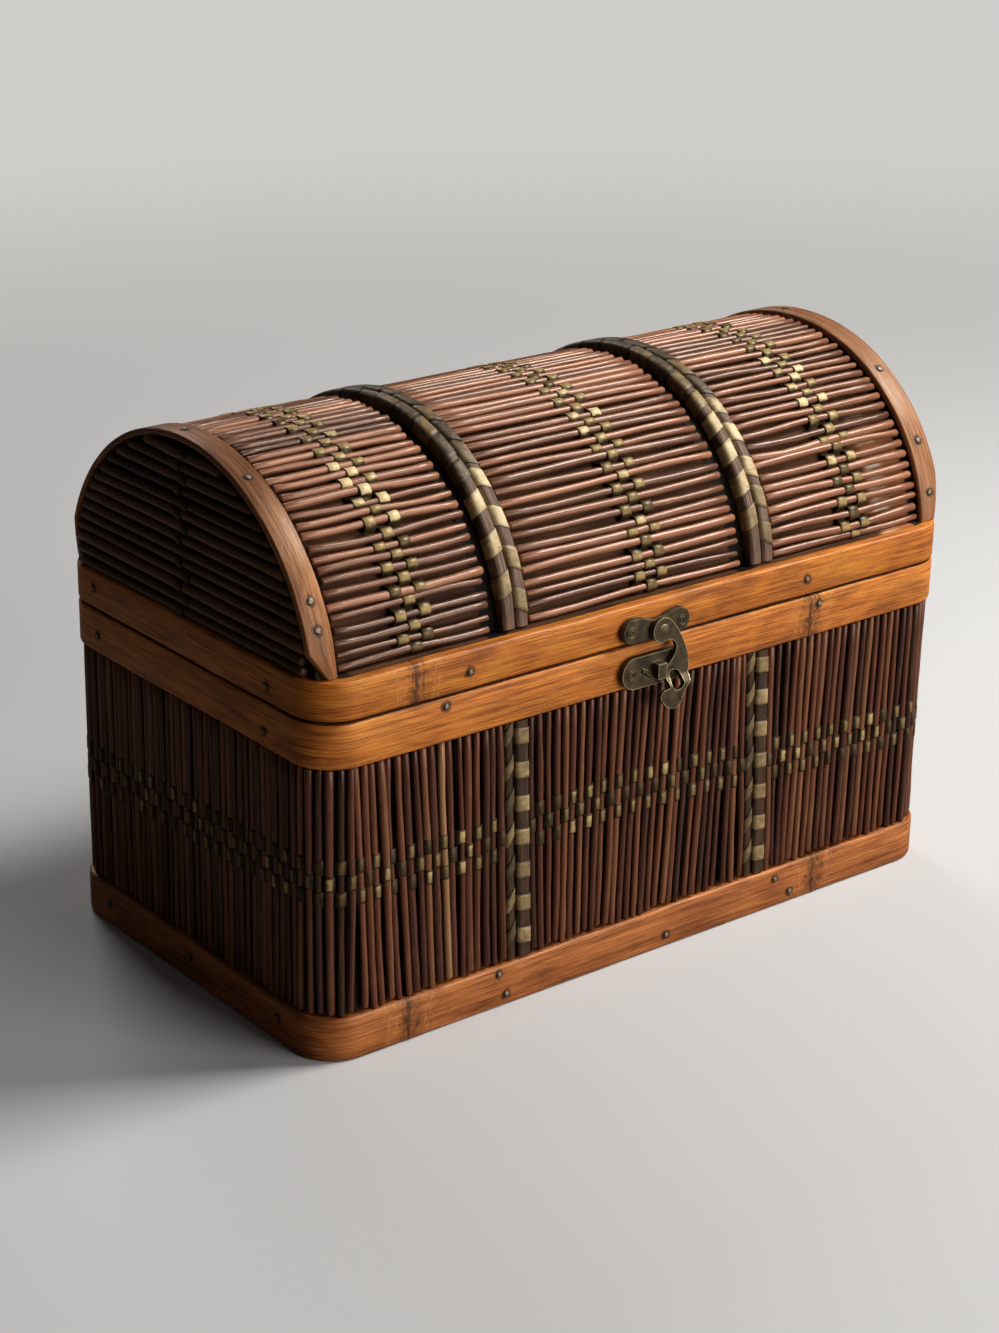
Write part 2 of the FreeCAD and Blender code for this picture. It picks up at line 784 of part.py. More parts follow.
def hinge_leaf(middle, z_side):
    """One leaf with its knuckles, cut back round the knuckles of the other leaf."""
    outer_pair = z_side < 0
    z_pair = sorted((hinge_axis_z, hinge_axis_z + z_side * hinge_leaf_height))
    plate = block(middle - hinge_width / 2, middle + hinge_width / 2,
                  back_plane, back_plane + hinge_leaf_thickness, z_pair[0], z_pair[1])
    bore = Part.makeCylinder(hinge_pin_radius + hinge_pin_clearance, hinge_width + 2,
                             Vector(middle - hinge_width / 2 - 1, hinge_axis_y, hinge_axis_z),
                             Vector(1, 0, 0))
    room = knuckles(middle, not outer_pair, knuckle_radius + knuckle_clearance, knuckle_side_gap)
    whole = plate.fuse(knuckles(middle, outer_pair, knuckle_radius, 0))
    return whole.cut(room + [bore])


def make_hinges():
    for name, z_side in (("hinge_lower", -1), ("hinge_upper", 1)):
        leaves = [hinge_leaf(middle, z_side) for middle in hinge_places]
        save(hinge_holes(group(leaves), z_side), name + "_leaves")
        save(hinge_screws(z_side), name + "_screws")
    pins = [
        Part.makeCylinder(hinge_pin_radius, hinge_width,
                          Vector(middle - hinge_width / 2, hinge_axis_y, hinge_axis_z),
                          Vector(1, 0, 0))
        for middle in hinge_places
    ]
    save(group(pins), "hinge_pins")


# Bamboo strips of the body and the lid
def make_bands():
    base_nails, base_points = band_nails(base_band_nail_places, 0)
    save(pierced(bamboo_ring(0, base_band_height), base_points), "base_band")
    save(group(base_nails), "base_band_nails")

    rim_nails, rim_points = band_nails(body_rim_nail_places, body_height)
    rim = pierced(bamboo_ring(reed_zone_top, body_height), rim_points)
    rim = screw_holes(rim, catch_screw_places)
    save(hinge_holes(rim, -1), "body_rim")
    save(group(rim_nails), "body_rim_nails")

    lid_nails, lid_points = band_nails(lid_rim_nail_places, lid_bottom)
    rim = pierced(bamboo_ring(lid_bottom, lid_rim_top), lid_points)
    rim = screw_holes(rim, latch_screw_places)
    save(hinge_holes(rim, 1), "lid_rim")
    save(group(lid_nails), "lid_rim_nails")


# Dome of the lid
def arch_block(half_width, rise, x_low, x_high, z_low):
    """Everything under an elliptical arch, along X and above a given height."""
    centre = Vector(x_low, 0, arch_centre_height)
    side = Vector(x_low, half_width, arch_centre_height)
    top = Vector(x_low, 0, arch_centre_height + rise)
    curve = Part.Ellipse(side, top, centre) if half_width >= rise else Part.Ellipse(top, side, centre)
    disc = Part.Face(Part.Wire(curve.toShape()))
    solid = disc.extrude(Vector(x_high - x_low, 0, 0))
    keep = block(x_low, x_high, -half_depth, half_depth, z_low, arch_centre_height + rise + 1)
    return solid.common(keep)


def arch_shell(half_width, rise, thickness, x_low, x_high, z_low):
    """A curved sheet of even thickness under an elliptical arch."""
    outside = arch_block(half_width, rise, x_low, x_high, z_low)
    inside = arch_block(half_width - thickness, rise - thickness, x_low, x_high, z_low)
    return outside.cut(inside)


def make_lid_boards():
    save(long_board(-1, lid_bottom, lid_rim_top), "lid_front_rail")
    save(long_board(1, lid_bottom, lid_rim_top), "lid_back_rail")
    save(corner_posts(lid_bottom, lid_rim_top), "lid_corner_posts")
    save(arch_shell(dome_half_width, dome_rise, dome_board_thickness,
                    -inner_half_length, inner_half_length, arch_centre_height), "dome_board")
    head = arch_block(end_board_half_width, end_board_rise,
                      -carcass_half_length, -inner_half_length, lid_rim_top)
    board = head.fuse(short_board(-1, lid_bottom, lid_rim_top)).removeSplitter()
    save(board, "left_end_board")
    save(mirrored(board), "right_end_board")


def make_arch_bands():
    """Bamboo strips over both ends of the dome, clipped where they meet the round corners."""
    x_low = -half_length + arch_band_inset
    x_high = x_low + arch_band_width
    band = arch_shell(arch_half_width, arch_rise, arch_band_thickness, x_low, x_high, lid_rim_top)
    corners = [
        Vector(x_low, -half_depth, lid_rim_top),
        Vector(x_low + arch_clip_width, -half_depth, lid_rim_top),
        Vector(x_low, -half_depth, lid_rim_top + arch_clip_height),
    ]
    wedge = Part.Face(Part.makePolygon(corners + corners[:1])).extrude(Vector(0, box_depth, 0))
    band = band.cut(wedge)
    nail_x = x_low + arch_band_width * 0.55
    angles = (18.7, 55.0, 93.0, 128.0, 158.0)
    nails = []
    for angle in angles:
        point, outward = arch_place(math.radians(angle), arch_half_width, arch_rise)
        point.x = nail_x
        nails.append(fastener(point, outward * -1, nail_head_radius, nail_head_height,
                              nail_shank_radius, arch_band_thickness - nail_seat_gap))
        band = drilled(band, [point], outward * -1, nail_shank_radius + shank_clearance,
                       arch_band_thickness + 1)
    save(band, "arch_band_left")
    save(mirrored(band), "arch_band_right")
    save(group(nails + [mirrored(nail) for nail in nails]), "arch_band_nails")


def arch_place(angle, half_width, rise):
    """A point of the arch and the direction away from it. The angle runs from front to back."""
    point = Vector(0, -half_width * math.cos(angle), arch_centre_height + rise * math.sin(angle))
    outward = Vector(0, -math.cos(angle) / half_width, math.sin(angle) / rise)
    return point, outward.normalize()


def even_arch_places(half_width, rise, start_height, count):
    """Places at an even pitch over the arch, from a start height on each side."""
    start = math.asin((start_height - arch_centre_height) / rise)
    steps = 2000
    angles = [start + (math.pi - 2 * start) * step / steps for step in range(steps + 1)]
    points = [arch_place(angle, half_width, rise)[0] for angle in angles]
    lengths = [0.0]
    for a, b in zip(points, points[1:]):
        lengths.append(lengths[-1] + (b - a).Length)
    places = []
    step = 0
    for index in range(count):
        wanted = lengths[-1] * index / (count - 1)
        while lengths[step] < wanted and step < steps:
            step += 1
        places.append(arch_place(angles[step], half_width, rise))
    return places


def lid_reed_sections():
    """The three stretches of reed between the arch bands and the straps."""
    half = lid_strand_width + strap_gap / 2
    end = half_length - arch_band_inset - arch_band_width - lid_reed_end_gap
    first, second = lid_strap_places
    gap = strap_gap
    return {
        "left": (-end, first - half - gap),
        "middle": (first + half + gap, second - half - gap),
        "right": (second + half + gap, end),
    }


def make_lid_covering():
    """Reeds, woven strands and straps over the dome."""
    start_height = lid_rim_top + lid_reed_radius + reed_end_gap
    places = even_arch_places(dome_half_width + reed_lift, dome_rise + reed_lift,
                              start_height, lid_reed_count)
    for name, (x_low, x_high) in lid_reed_sections().items():
        reeds = [
            Part.makeCylinder(lid_reed_radius, x_high - x_low, Vector(x_low, point.y, point.z),
                              Vector(1, 0, 0))
            for point, outward in places
        ]
        save(group(reeds), "lid_reeds_" + name)
    for name, middle in zip(("left", "middle", "right"), lid_weave_places):
        strands = []
        for row, first_side in ((-1, 1), (0, -1), (1, 1)):
            x_low = middle + row * strand_spacing - strand_width / 2
            shifted = [(point + Vector(x_low, 0, 0), outward) for point, outward in places]
            strands.append(woven_strand(shifted, lid_reed_radius, first_side,
                                        Vector(strand_width, 0, 0)))
        save(group(strands), "lid_weave_" + name)
    for name, middle in zip(("left", "right"), lid_strap_places):
        half_width = dome_half_width + strap_board_gap + lid_strap_thickness
        rise = dome_rise + strap_board_gap + lid_strap_thickness
        low = lid_rim_top + reed_end_gap
        spans = (
            (middle - strap_gap / 2 - lid_strand_width, middle - strap_gap / 2),
            (middle + strap_gap / 2, middle + strap_gap / 2 + lid_strand_width),
        )
        strands = [
            arch_shell(half_width, rise, lid_strap_thickness, x_low, x_high, low)
            for x_low, x_high in spans
        ]
        save(group([piece for strand in strands for piece in strand.Solids]), "lid_strap_" + name)


def make_end_covering():
    """Reeds lying across the round-topped ends, and the two strands woven up their middle."""
    x = -(carcass_half_length + reed_lift)
    low = lid_rim_top + reed_radius + reed_end_gap
    top = arch_centre_height + end_board_rise - reed_radius - end_reed_gap
    count = int((top - low) / end_reed_pitch) + 1
    places = []
    reeds = []
    for index in range(count):
        z = low + index * end_reed_pitch
        edge = z + reed_radius - arch_centre_height
        reach = end_board_half_width * math.sqrt(1 - (edge / end_board_rise) ** 2) - end_reed_gap
        corner_reach = straight_half_depth + corner_radius * 0.55
        if z < lid_rim_top + arch_clip_height:
            reach = min(reach, corner_reach)
        places.append((Vector(x, 0, z), Vector(-1, 0, 0)))
        reeds.append(Part.makeCylinder(reed_radius, 2 * reach, Vector(x, -reach, z), Vector(0, 1, 0)))
    save(group(reeds), "left_end_reeds")
    save(mirrored(group(reeds)), "right_end_reeds")
    strands = []
    for side, first_side in ((-1, 1), (1, -1)):
        y = side * end_strand_spacing / 2 - end_strand_width / 2
        shifted = [(point + Vector(0, y, 0), outward) for point, outward in places]
        strands.append(woven_strand(shifted, reed_radius, first_side, Vector(0, end_strand_width, 0)))
    save(group(strands), "left_end_weave")
    save(mirrored(group(strands)), "right_end_weave")


make_body_boards()
reed_runs = body_reed_runs()
make_body_reeds(reed_runs)
make_body_weave(reed_runs)
make_body_straps()
make_bands()
make_latch_plate()
make_catch()
make_rivet()
make_hook()
make_hinges()
make_lid_boards()
make_arch_bands()
make_lid_covering()
make_end_covering()
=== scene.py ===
# %% [markdown]
# # A domed keepsake box, dressed over its solid model
# The solid model gives every piece its size and place. This file gives the pieces the surfaces of
# the real box: reeds that are never quite straight, bamboo strips with scars at the cane's joints,
# flat golden strands woven through the reeds, wrapped straps, and a clasp in antique brass. Each
# step explains what the real thing is before it makes it.

# %% Load the solid model
import math
import bmesh
import bpy
import numpy as np
from mathutils import Matrix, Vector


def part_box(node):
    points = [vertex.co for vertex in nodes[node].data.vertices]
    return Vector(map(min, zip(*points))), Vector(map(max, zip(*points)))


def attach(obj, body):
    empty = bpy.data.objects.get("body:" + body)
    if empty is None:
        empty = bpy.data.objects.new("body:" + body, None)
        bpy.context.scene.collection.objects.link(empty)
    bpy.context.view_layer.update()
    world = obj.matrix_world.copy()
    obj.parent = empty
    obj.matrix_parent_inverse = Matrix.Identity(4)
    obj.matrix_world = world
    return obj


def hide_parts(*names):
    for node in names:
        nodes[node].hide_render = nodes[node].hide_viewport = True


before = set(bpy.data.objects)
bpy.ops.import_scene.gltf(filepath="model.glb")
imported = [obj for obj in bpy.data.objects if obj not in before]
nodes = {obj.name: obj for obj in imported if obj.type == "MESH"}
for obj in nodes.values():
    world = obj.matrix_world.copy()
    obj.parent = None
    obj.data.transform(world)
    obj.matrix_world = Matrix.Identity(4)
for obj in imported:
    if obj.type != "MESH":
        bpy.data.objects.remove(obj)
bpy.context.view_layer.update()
print("The solid model has", len(nodes), "pieces")

# %% [markdown]
# Shapes are worked out in millimetres and turned into metres when a mesh is made. Every main size
# is measured on the solid model, so that a change there moves the dressing too.

# %% Measure the solid model
MM = 0.001
UV_UNIT = 100.0


def node_box(name):
    """The lowest and highest corner of a solid piece, in millimetres."""
    low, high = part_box(name)
    return np.array(low) / MM, np.array(high) / MM


half_length, half_depth, base_band_top = node_box("base_band")[1]
body_rim_bottom, body_rim_top = (corner[2] for corner in node_box("body_rim"))
lid_rim_bottom, lid_rim_top = (corner[2] for corner in node_box("lid_rim"))
carcass_half_length, carcass_half_depth = node_box("bottom_board")[1][:2]
arch_centre = node_box("dome_board")[0][2]
_, dome_half_width, dome_top = node_box("dome_board")[1]
dome_rise = dome_top - arch_centre
arch_low, arch_high = node_box("arch_band_left")
arch_rise = arch_high[2] - arch_centre
arch_inset = 0.2
arch_half_width = carcass_half_depth - arch_inset
strip_thickness = half_depth - carcass_half_depth
corner_radius = 14.0
reed_lift = 1.8
print("Half length", half_length, "half depth", half_depth, "dome top", arch_high[2])

# %% [markdown]
# A mesh is filled from whole arrays. Grids come out as quads; where a tube closes in a point, the
# quads of its last ring share that point, so the doubles are merged and the quads become triangles.
# The sign of the enclosed volume tells whether the faces look outwards, and turns them if not.

# %% Make meshes from arrays


def grid_quads(rows, columns, around=False, along=False):
    """Corner numbers of the quads of a grid, which may close on itself around or along."""
    index = np.arange(rows * columns).reshape(rows, columns)
    if around:
        index = np.hstack([index, index[:, :1]])
    if along:
        index = np.vstack([index, index[:1]])
    quads = np.stack([index[:-1, :-1], index[:-1, 1:], index[1:, 1:], index[1:, :-1]], axis=-1)
    return quads.reshape(-1, 4)


def copied(quads, count, size):
    """The faces of many equal shapes laid one after another, each with size points."""
    return (quads[None] + (np.arange(count) * size)[:, None, None]).reshape(-1, 4)


def joined(parts):
    """Several shapes laid in one mesh: points, faces, and whatever goes with the points."""
    points, faces, *others = zip(*parts)
    starts = np.cumsum([0] + [len(each) for each in points[:-1]])
    moved = [face + start for face, start in zip(faces, starts)]
    return [np.concatenate(arrays) for arrays in (points, moved, *others)]


def enclosed_volume(points, faces):
    """Six times the volume inside the faces: the sum of a . (b x c) over their triangles."""
    a = points[faces[:, 0]]
    total = 0.0
    for k in range(1, faces.shape[1] - 1):
        b = points[faces[:, k]]
        c = points[faces[:, k + 1]]
        total += np.einsum("ij,ij->i", a, np.cross(b, c)).sum()
    return total


def make_mesh(name, points, faces, uv=None, attributes=None):
    """A welded mesh with its faces outwards, from points in millimetres."""
    if enclosed_volume(points, faces) < 0:
        faces = faces[:, ::-1]
    mesh = bpy.data.meshes.new(name)
    corners = faces.shape[1]
    mesh.vertices.add(len(points))
    mesh.vertices.foreach_set("co", (points * MM).astype(np.float32).ravel())
    mesh.loops.add(faces.size)
    mesh.loops.foreach_set("vertex_index", faces.astype(np.int32).ravel())
    mesh.polygons.add(len(faces))
    mesh.polygons.foreach_set("loop_start", np.arange(0, faces.size, corners, dtype=np.int32))
    mesh.update(calc_edges=True)
    if uv is not None:
        layer = mesh.uv_layers.new(name="strip")
        layer.data.foreach_set("uv", uv[faces.ravel()].astype(np.float32).ravel())
    for key, values in (attributes or {}).items():
        attribute = mesh.attributes.new(key, "FLOAT", "POINT")
        attribute.data.foreach_set("value", values.astype(np.float32))
    weld = bmesh.new()
    weld.from_mesh(mesh)
    bmesh.ops.remove_doubles(weld, verts=weld.verts, dist=1e-7)
    weld.to_mesh(mesh)
    weld.free()
    mesh.shade_smooth()
    return mesh


def add_piece(mesh, finish, body, slot, replaced=(), sharp=None):
    """Put a mesh in the scene under its own name, on its body and in place of its solids."""
    piece = bpy.data.objects.new(mesh.name, mesh)
    bpy.context.scene.collection.objects.link(piece)
    mesh.materials.append(finish)
    if sharp is not None:
        mesh.set_sharp_from_angle(angle=math.radians(sharp))
    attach(piece, body)
    if replaced:
        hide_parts(*replaced)
    print(mesh.name, "has", len(mesh.polygons), "faces")
    return piece


def waver(position, seed, length, amount):
    """A smooth random curve: the sum of three sine waves of unrelated lengths and random starts."""
    starts = np.random.default_rng(seed).uniform(0, 2 * np.pi, 3)
    lengths = length * np.array([1.0, 0.57, 0.31])
    weights = np.array([0.55, 0.3, 0.15])
    waves = np.sin(2 * np.pi * np.asarray(position)[..., None] / lengths + starts)
    return amount * (waves * weights).sum(axis=-1)


print("A tube of 3 rings with 8 points has", len(grid_quads(3, 8, around=True)), "quads")

# %% [markdown]
# ## Finishes
# A finish is a node tree, and most of it is arithmetic. A Wire wraps one output, so that
# 1 - mask * 0.5 adds its own Math nodes.

# %% Write shader arithmetic as Python


class Wire:
    """A value on its way through a finish. Arithmetic on it adds Math nodes."""

    def __init__(self, finish, socket):
        self.finish = finish
        self.socket = socket

    def combine(self, operation, first, second):
        return self.finish.node("Math", {"operation": operation}, {0: first, 1: second})

    def __add__(self, other):
        return self.combine("ADD", self, other)

    def __sub__(self, other):
        return self.combine("SUBTRACT", self, other)

    def __mul__(self, other):
        return self.combine("MULTIPLY", self, other)

    def __radd__(self, other):
        return self.combine("ADD", other, self)

    def __rsub__(self, other):
        return self.combine("SUBTRACT", other, self)

    def __rmul__(self, other):
        return self.combine("MULTIPLY", other, self)

    def least(self, other):
        return self.combine("MINIMUM", self, other)

    def most(self, other):
        return self.combine("MAXIMUM", self, other)

    def away_from(self, place):
        return self.finish.node("Math", {"operation": "ABSOLUTE"}, {0: self - place})


def paint(red, green, blue):
    """A colour as seen on screen, 0 to 255, turned into the linear values that a shader uses."""
    seen = np.array([red, green, blue]) / 255.0
    linear = np.where(seen <= 0.04045, seen / 12.92, ((seen + 0.055) / 1.055) ** 2.4)
    return (*linear.tolist(), 1.0)


print("A middle grey on screen is", round(paint(128, 128, 128)[0], 3), "to a shader")

# %% [markdown]
# Every node that isn't plain arithmetic comes from one method, node. The others give the few mixes
# that this box needs their own names: noise stretched along a strip, a fade between two levels,
# one colour laid over another. The room's light is such a tree too.

# %% Build a finish from nodes


class Finish:
    """One node tree under construction, of a material or of the world."""

    def __init__(self, name, owners=None):
        self.owner = (bpy.data.materials if owners is None else owners).new(name)
        self.owner.use_nodes = True
        self.tree = self.owner.node_tree
        self.tree.nodes.clear()

    def node(self, kind, settings=None, sockets=None, output=0):
        """Add a node: first its settings, then a value or a wire for each socket."""
        node = self.tree.nodes.new("ShaderNode" + kind)
        for key, value in (settings or {}).items():
            if key == "stops":
                self.set_stops(node.color_ramp, value)
            else:
                setattr(node, key, value)
        for key, value in (sockets or {}).items():
            if isinstance(value, Wire):
                self.tree.links.new(value.socket, node.inputs[key])
            else:
                node.inputs[key].default_value = value
        return Wire(self, node.outputs[output]) if node.outputs else None

    def set_stops(self, ramp, stops):
        """Give a colour ramp its (position, colour) stops."""
        while len(ramp.elements) < len(stops):
            ramp.elements.new(1.0)
        for element, (position, colour) in zip(ramp.elements, stops):
            element.position = position
            element.color = colour

    def place(self):
        """Object coordinates in millimetres."""
        return self.stretch(self.node("TexCoord", output=3), (1 / MM, 1 / MM, 1 / MM))

    def along_strip(self):
        """The piece's own UV map, in millimetres along and across."""
        return self.stretch(self.node("TexCoord", output=2), (UV_UNIT, UV_UNIT, 1.0))

    def stretch(self, vector, factors):
        return self.node("VectorMath", {"operation": "MULTIPLY"}, {0: vector, 1: factors})

    def measured(self, operation, first, second=(0.0, 0.0, 0.0)):
        """A number from Vector Math: a distance, a length or a dot product."""
        return self.node("VectorMath", {"operation": operation}, {0: first, 1: second}, output=1)

    def part_of(self, vector, axis):
        return self.node("SeparateXYZ", None, {0: vector}, output="XYZ".index(axis))

    def attribute(self, name):
        return self.node("Attribute", {"attribute_name": name}, output=2)

    def noise(self, vector, size, detail=3.0, distortion=0.0):
        """Smooth noise whose features are about one size, given per axis."""
        scaled = self.stretch(vector, tuple(1.0 / value for value in size))
        sockets = {"Vector": scaled, "Scale": 1.0, "Detail": detail, "Roughness": 0.55,
                   "Distortion": distortion}
        return self.node("TexNoise", {"noise_dimensions": "3D"}, sockets)

    def fade(self, value, none_at, full_at):
        """0 where the value is none_at, rising smoothly to 1 where it is full_at."""
        settings = {"interpolation_type": "SMOOTHSTEP"}
        sockets = {0: value, 1: none_at, 2: full_at, 3: 0.0, 4: 1.0}
        return self.node("MapRange", settings, sockets)

    def spots(self, vector, size, none_at, full_at, detail=3.0, distortion=0.0):
        """Where a noise rises above two levels: 0 at the lower one, 1 at the higher."""
        return self.fade(self.noise(vector, size, detail, distortion), none_at, full_at)

    def blend(self, factor, first, second):
        settings = {"data_type": "RGBA", "blend_type": "MIX"}
        return self.node("Mix", settings, {0: factor, 6: first, 7: second}, output=2)

    def ramp(self, value, stops):
        return self.node("ValToRGB", {"stops": stops}, {0: value})

    def nearest(self, place, points):
        """The distance from a place to the nearest of some points."""
        least = None
        for point in points:
            gap = self.measured("DISTANCE", place, tuple(point))
            least = gap if least is None else least.least(gap)
        return least

    def bump(self, height, distance, strength=1.0):
        sockets = {"Strength": strength, "Distance": distance * MM, "Height": height}
        return self.node("Bump", None, sockets)

    def surface(self, colour, roughness, others):
        """Close the tree with a Principled surface and return the material."""
        sockets = {"Base Color": colour, "Roughness": roughness, **others}
        shader = self.node("BsdfPrincipled", None, sockets)
        self.node("OutputMaterial", None, {"Surface": shader})
        return self.owner


print("Wires and finishes are ready")

# %% [markdown]
# ### Bamboo
# The rims are split bamboo, bent round the box, stained orange-brown and varnished. Its fibres run
# the whole length of the strip, so the pattern is stretched along the strip's own UV map. Where the
# cane had a joint, a dark scar crosses the strip. Each nail has let a dark stain into the wood, and
# the line where the body's rim meets the lid's is painted dark, as painted shade in the gap.

# %% Bamboo finish


def separate_solids(name):
    """The corners of every separate solid of a node, in millimetres."""
    shape = bmesh.new()
    shape.from_mesh(nodes[name].data)
    bmesh.ops.remove_doubles(shape, verts=shape.verts, dist=1e-6)
    unseen = set(shape.verts)
    solids = []
    while unseen:
        queue = [unseen.pop()]
        island = []
        while queue:
            vertex = queue.pop()
            island.append(vertex.co / MM)
            for edge in vertex.link_edges:
                other = edge.other_vert(vertex)
                if other in unseen:
                    unseen.remove(other)
                    queue.append(other)
        solids.append(np.array(island))
    shape.free()
    return solids


def box_middle(solid):
    """The middle of the box round a solid."""
    return (solid.min(axis=0) + solid.max(axis=0)) / 2


def head_middles(name):
    """The outermost point of every nail of a node, on the nail's own axis through the rim."""
    heads = []
    for solid in separate_solids(name):
        middle = box_middle(solid)
        share = np.abs(middle[:2]) / [half_length, half_depth]
        axis = int(np.argmax(share))
        middle[axis] = np.sign(middle[axis]) * np.abs(solid[:, axis]).max()
        heads.append(middle)
    return heads


def bamboo_finish(name, colours, nails, scars, stain_width, grain=1.0, top_darkening=0.0):
    """Varnished bamboo with fibres along the strip, scars across it and stains round its nails.

    The colours are a light, a pale and a deep one. Where aged is above 0, the top of the strip is
    that much darker than its feet.
    """
    light, pale, deep = (paint(*colour) for colour in colours)
    finish = Finish(name)
    strip = finish.along_strip()
    place = finish.place()
    height = finish.part_of(place, "Z")
    fibres = finish.noise(strip, (16.0, 0.3, 1.0), detail=4.0)
    streaks = finish.noise(strip, (55.0, 1.5, 1.0))
    patches = finish.noise(strip, (24.0, 9.0, 1.0), distortion=0.6)
    tone = fibres * 0.44 + streaks * 0.32 + patches * 0.24
    colour = finish.ramp(tone, [(0.41, deep), (0.49, pale), (0.58, light)])
    clouds = finish.spots(strip, (30.0, 8.0, 1.0), 0.5, 0.68, detail=4.0, distortion=0.8)
    colour = finish.blend(clouds * (0.36 * grain), colour, paint(104, 48, 22))
    lines = finish.spots(strip, (20.0, 0.32, 1.0), 0.56, 0.68, detail=2.0)
    colour = finish.blend(lines * (0.6 * grain), colour, paint(92, 44, 18))
    if top_darkening:
        top = finish.fade(height, arch_high[2] - 24, arch_high[2] - 4)
        colour = finish.blend(top * top_darkening, colour, deep)
    ragged = finish.noise(place, (2.2, 2.2, 2.2), detail=4.0) - 0.5
    flecks = finish.spots(strip, (0.9, 2.6, 1.0), 0.46, 0.6)
    along = finish.part_of(strip, "X")
    for scar in scars:
        gap = along.away_from(scar) + ragged * 9.0
        wide = finish.fade(gap, 5.4, 1.6)
        colour = finish.blend(wide * (0.3 + flecks * 0.6), colour, paint(88, 46, 26))
        beside = finish.fade(gap, 10.0, 7.0) * finish.fade(gap, 4.2, 5.6)
        colour = finish.blend(beside * flecks * 0.5, colour, paint(210, 142, 84))
        crack = finish.fade(along.away_from(scar - 0.6) + ragged * 3.0, 0.9, 0.2)
        colour = finish.blend(crack * 0.7, colour, paint(52, 30, 20))
    nail_gap = finish.nearest(place, nails) + ragged * 2.6
    stain = finish.fade(nail_gap, stain_width + 0.8, stain_width)
    colour = finish.blend(stain * 0.8, colour, paint(44, 24, 15))
    specks = finish.spots(place, (0.8, 0.8, 0.8), 0.7, 0.76, detail=1.0)
    colour = finish.blend(specks * 0.45, colour, paint(78, 40, 20))
    pale_flecks = finish.spots(strip, (2.4, 0.5, 1.0), 0.72, 0.8, detail=1.0)
    colour = finish.blend(pale_flecks * 0.35, colour, paint(226, 160, 92))
    # Painted shade: a dark line where the body's rim meets the lid's, standing for the shade in the gap
    # between them.
    painted_seam_shade = height.away_from((body_rim_top + lid_rim_bottom) / 2) + ragged * 0.5
    colour = finish.blend(finish.fade(painted_seam_shade, 0.7, 0.3) * 0.8, colour, paint(40, 21, 12))
    roughness = 0.34 + fibres * 0.24 + stain * 0.15
    relief = finish.bump(fibres * 0.7 + lines * -0.5 + streaks * 0.3, 0.2, 0.8)
    return finish.surface(colour, roughness, {
        "Normal": relief, "Specular Tint": paint(255, 226, 190), "Coat Weight": 0.08,
        "Coat Roughness": 0.2})


base_nails = head_middles("base_band_nails")
body_rim_nails = head_middles("body_rim_nails")
lid_rim_nails = head_middles("lid_rim_nails")
print("Nails:", len(base_nails), len(body_rim_nails), len(lid_rim_nails))

# %% [markdown]
# A strip is a small rounded section carried round a path. Round the box the path is a rectangle
# with round corners, and over the lid it is half an ellipse. Both are measured by the distance
# walked along them.

# %% Paths round the box and over the dome


def walked(points):
    """The distance walked to each point of a line, from its first one."""
    steps = np.linalg.norm(np.diff(points, axis=0), axis=1)
    return np.concatenate([[0.0], np.cumsum(steps)])


def ring_path(distance, half_x, half_y, radius):
    """Point and outward direction at a distance along a rounded rectangle, and its whole length.

    The walk starts in the middle of the back and turns to the left end, the front and the right
    end. Straight runs and quarter circles are laid end to end in a table, and read by distance.
    """
    turn = np.linspace(0, np.pi / 2, 24)
    corners = [(-1, 1, np.pi / 2), (-1, -1, np.pi), (1, -1, 1.5 * np.pi), (1, 1, 0.0)]
    angles = np.concatenate([start + turn for _, _, start in corners])
    centres = [(x * (half_x - radius), y * (half_y - radius)) for x, y, _ in corners]
    outward = np.stack([np.cos(angles), np.sin(angles)], axis=-1)
    points = np.repeat(centres, len(turn), axis=0) + radius * outward
    back = np.array([[0.0, half_y]])
    points = np.vstack([back, points, back])
    outward = np.vstack([[[0.0, 1.0]], outward, [[0.0, 1.0]]])
    table = walked(points)
    wrapped = np.mod(distance, table[-1])
    flat = [np.interp(wrapped, table, column) for column in (*points.T, *outward.T)]
    zero = np.zeros_like(flat[0])
    return np.stack([*flat[:2], zero], -1), np.stack([*flat[2:], zero], -1), table[-1]


def arch_path(distance, half_width, rise, start_height):
    """Point and outward direction at a distance over half an ellipse, and its whole length.

    The walk goes from the front to the back. A point at angle t is (-half_width cos t, rise sin t),
    and a table of lengths turns distance into t.
    """
    start = np.arcsin((start_height - arch_centre) / rise)
    angles = np.linspace(start, np.pi - start, 1500)
    table = walked(np.stack([-half_width * np.cos(angles), rise * np.sin(angles)], -1))
    angle = np.interp(distance, table, angles)
    zero = np.zeros_like(angle)
    point = np.stack([zero, -half_width * np.cos(angle), arch_centre + rise * np.sin(angle)], -1)
    outward = np.stack([zero, -np.cos(angle) / half_width, np.sin(angle) / rise], -1)
    outward /= np.linalg.norm(outward, axis=-1, keepdims=True)
    return point, outward, table[-1]


def rounded_section(width, height, near_round, far_round, steps=4):
    """A closed outline (across, out) of a flat bar: out is 0 at the back and height at the front.

    Each corner is a quarter circle; the back corners have the near radius, the front the far one.
    """
    turn = np.linspace(0, np.pi / 2, steps)
    corners = [(1, 0, near_round, -np.pi / 2), (1, 1, far_round, 0.0),
               (-1, 1, far_round, np.pi / 2), (-1, 0, near_round, np.pi)]
    pieces = []
    for side, front, radius, start in corners:
        centre_x = side * (width / 2 - radius)
        centre_y = height - radius if front else radius
        pieces.append(np.stack([centre_x + radius * np.cos(start + turn),
                                centre_y + radius * np.sin(start + turn)], -1))
    return np.vstack(pieces)


def with_ends(values):
    """The values with the first and the last given twice, as a capped tube needs them."""
    return np.concatenate([values[:1], values, values[-1:]])


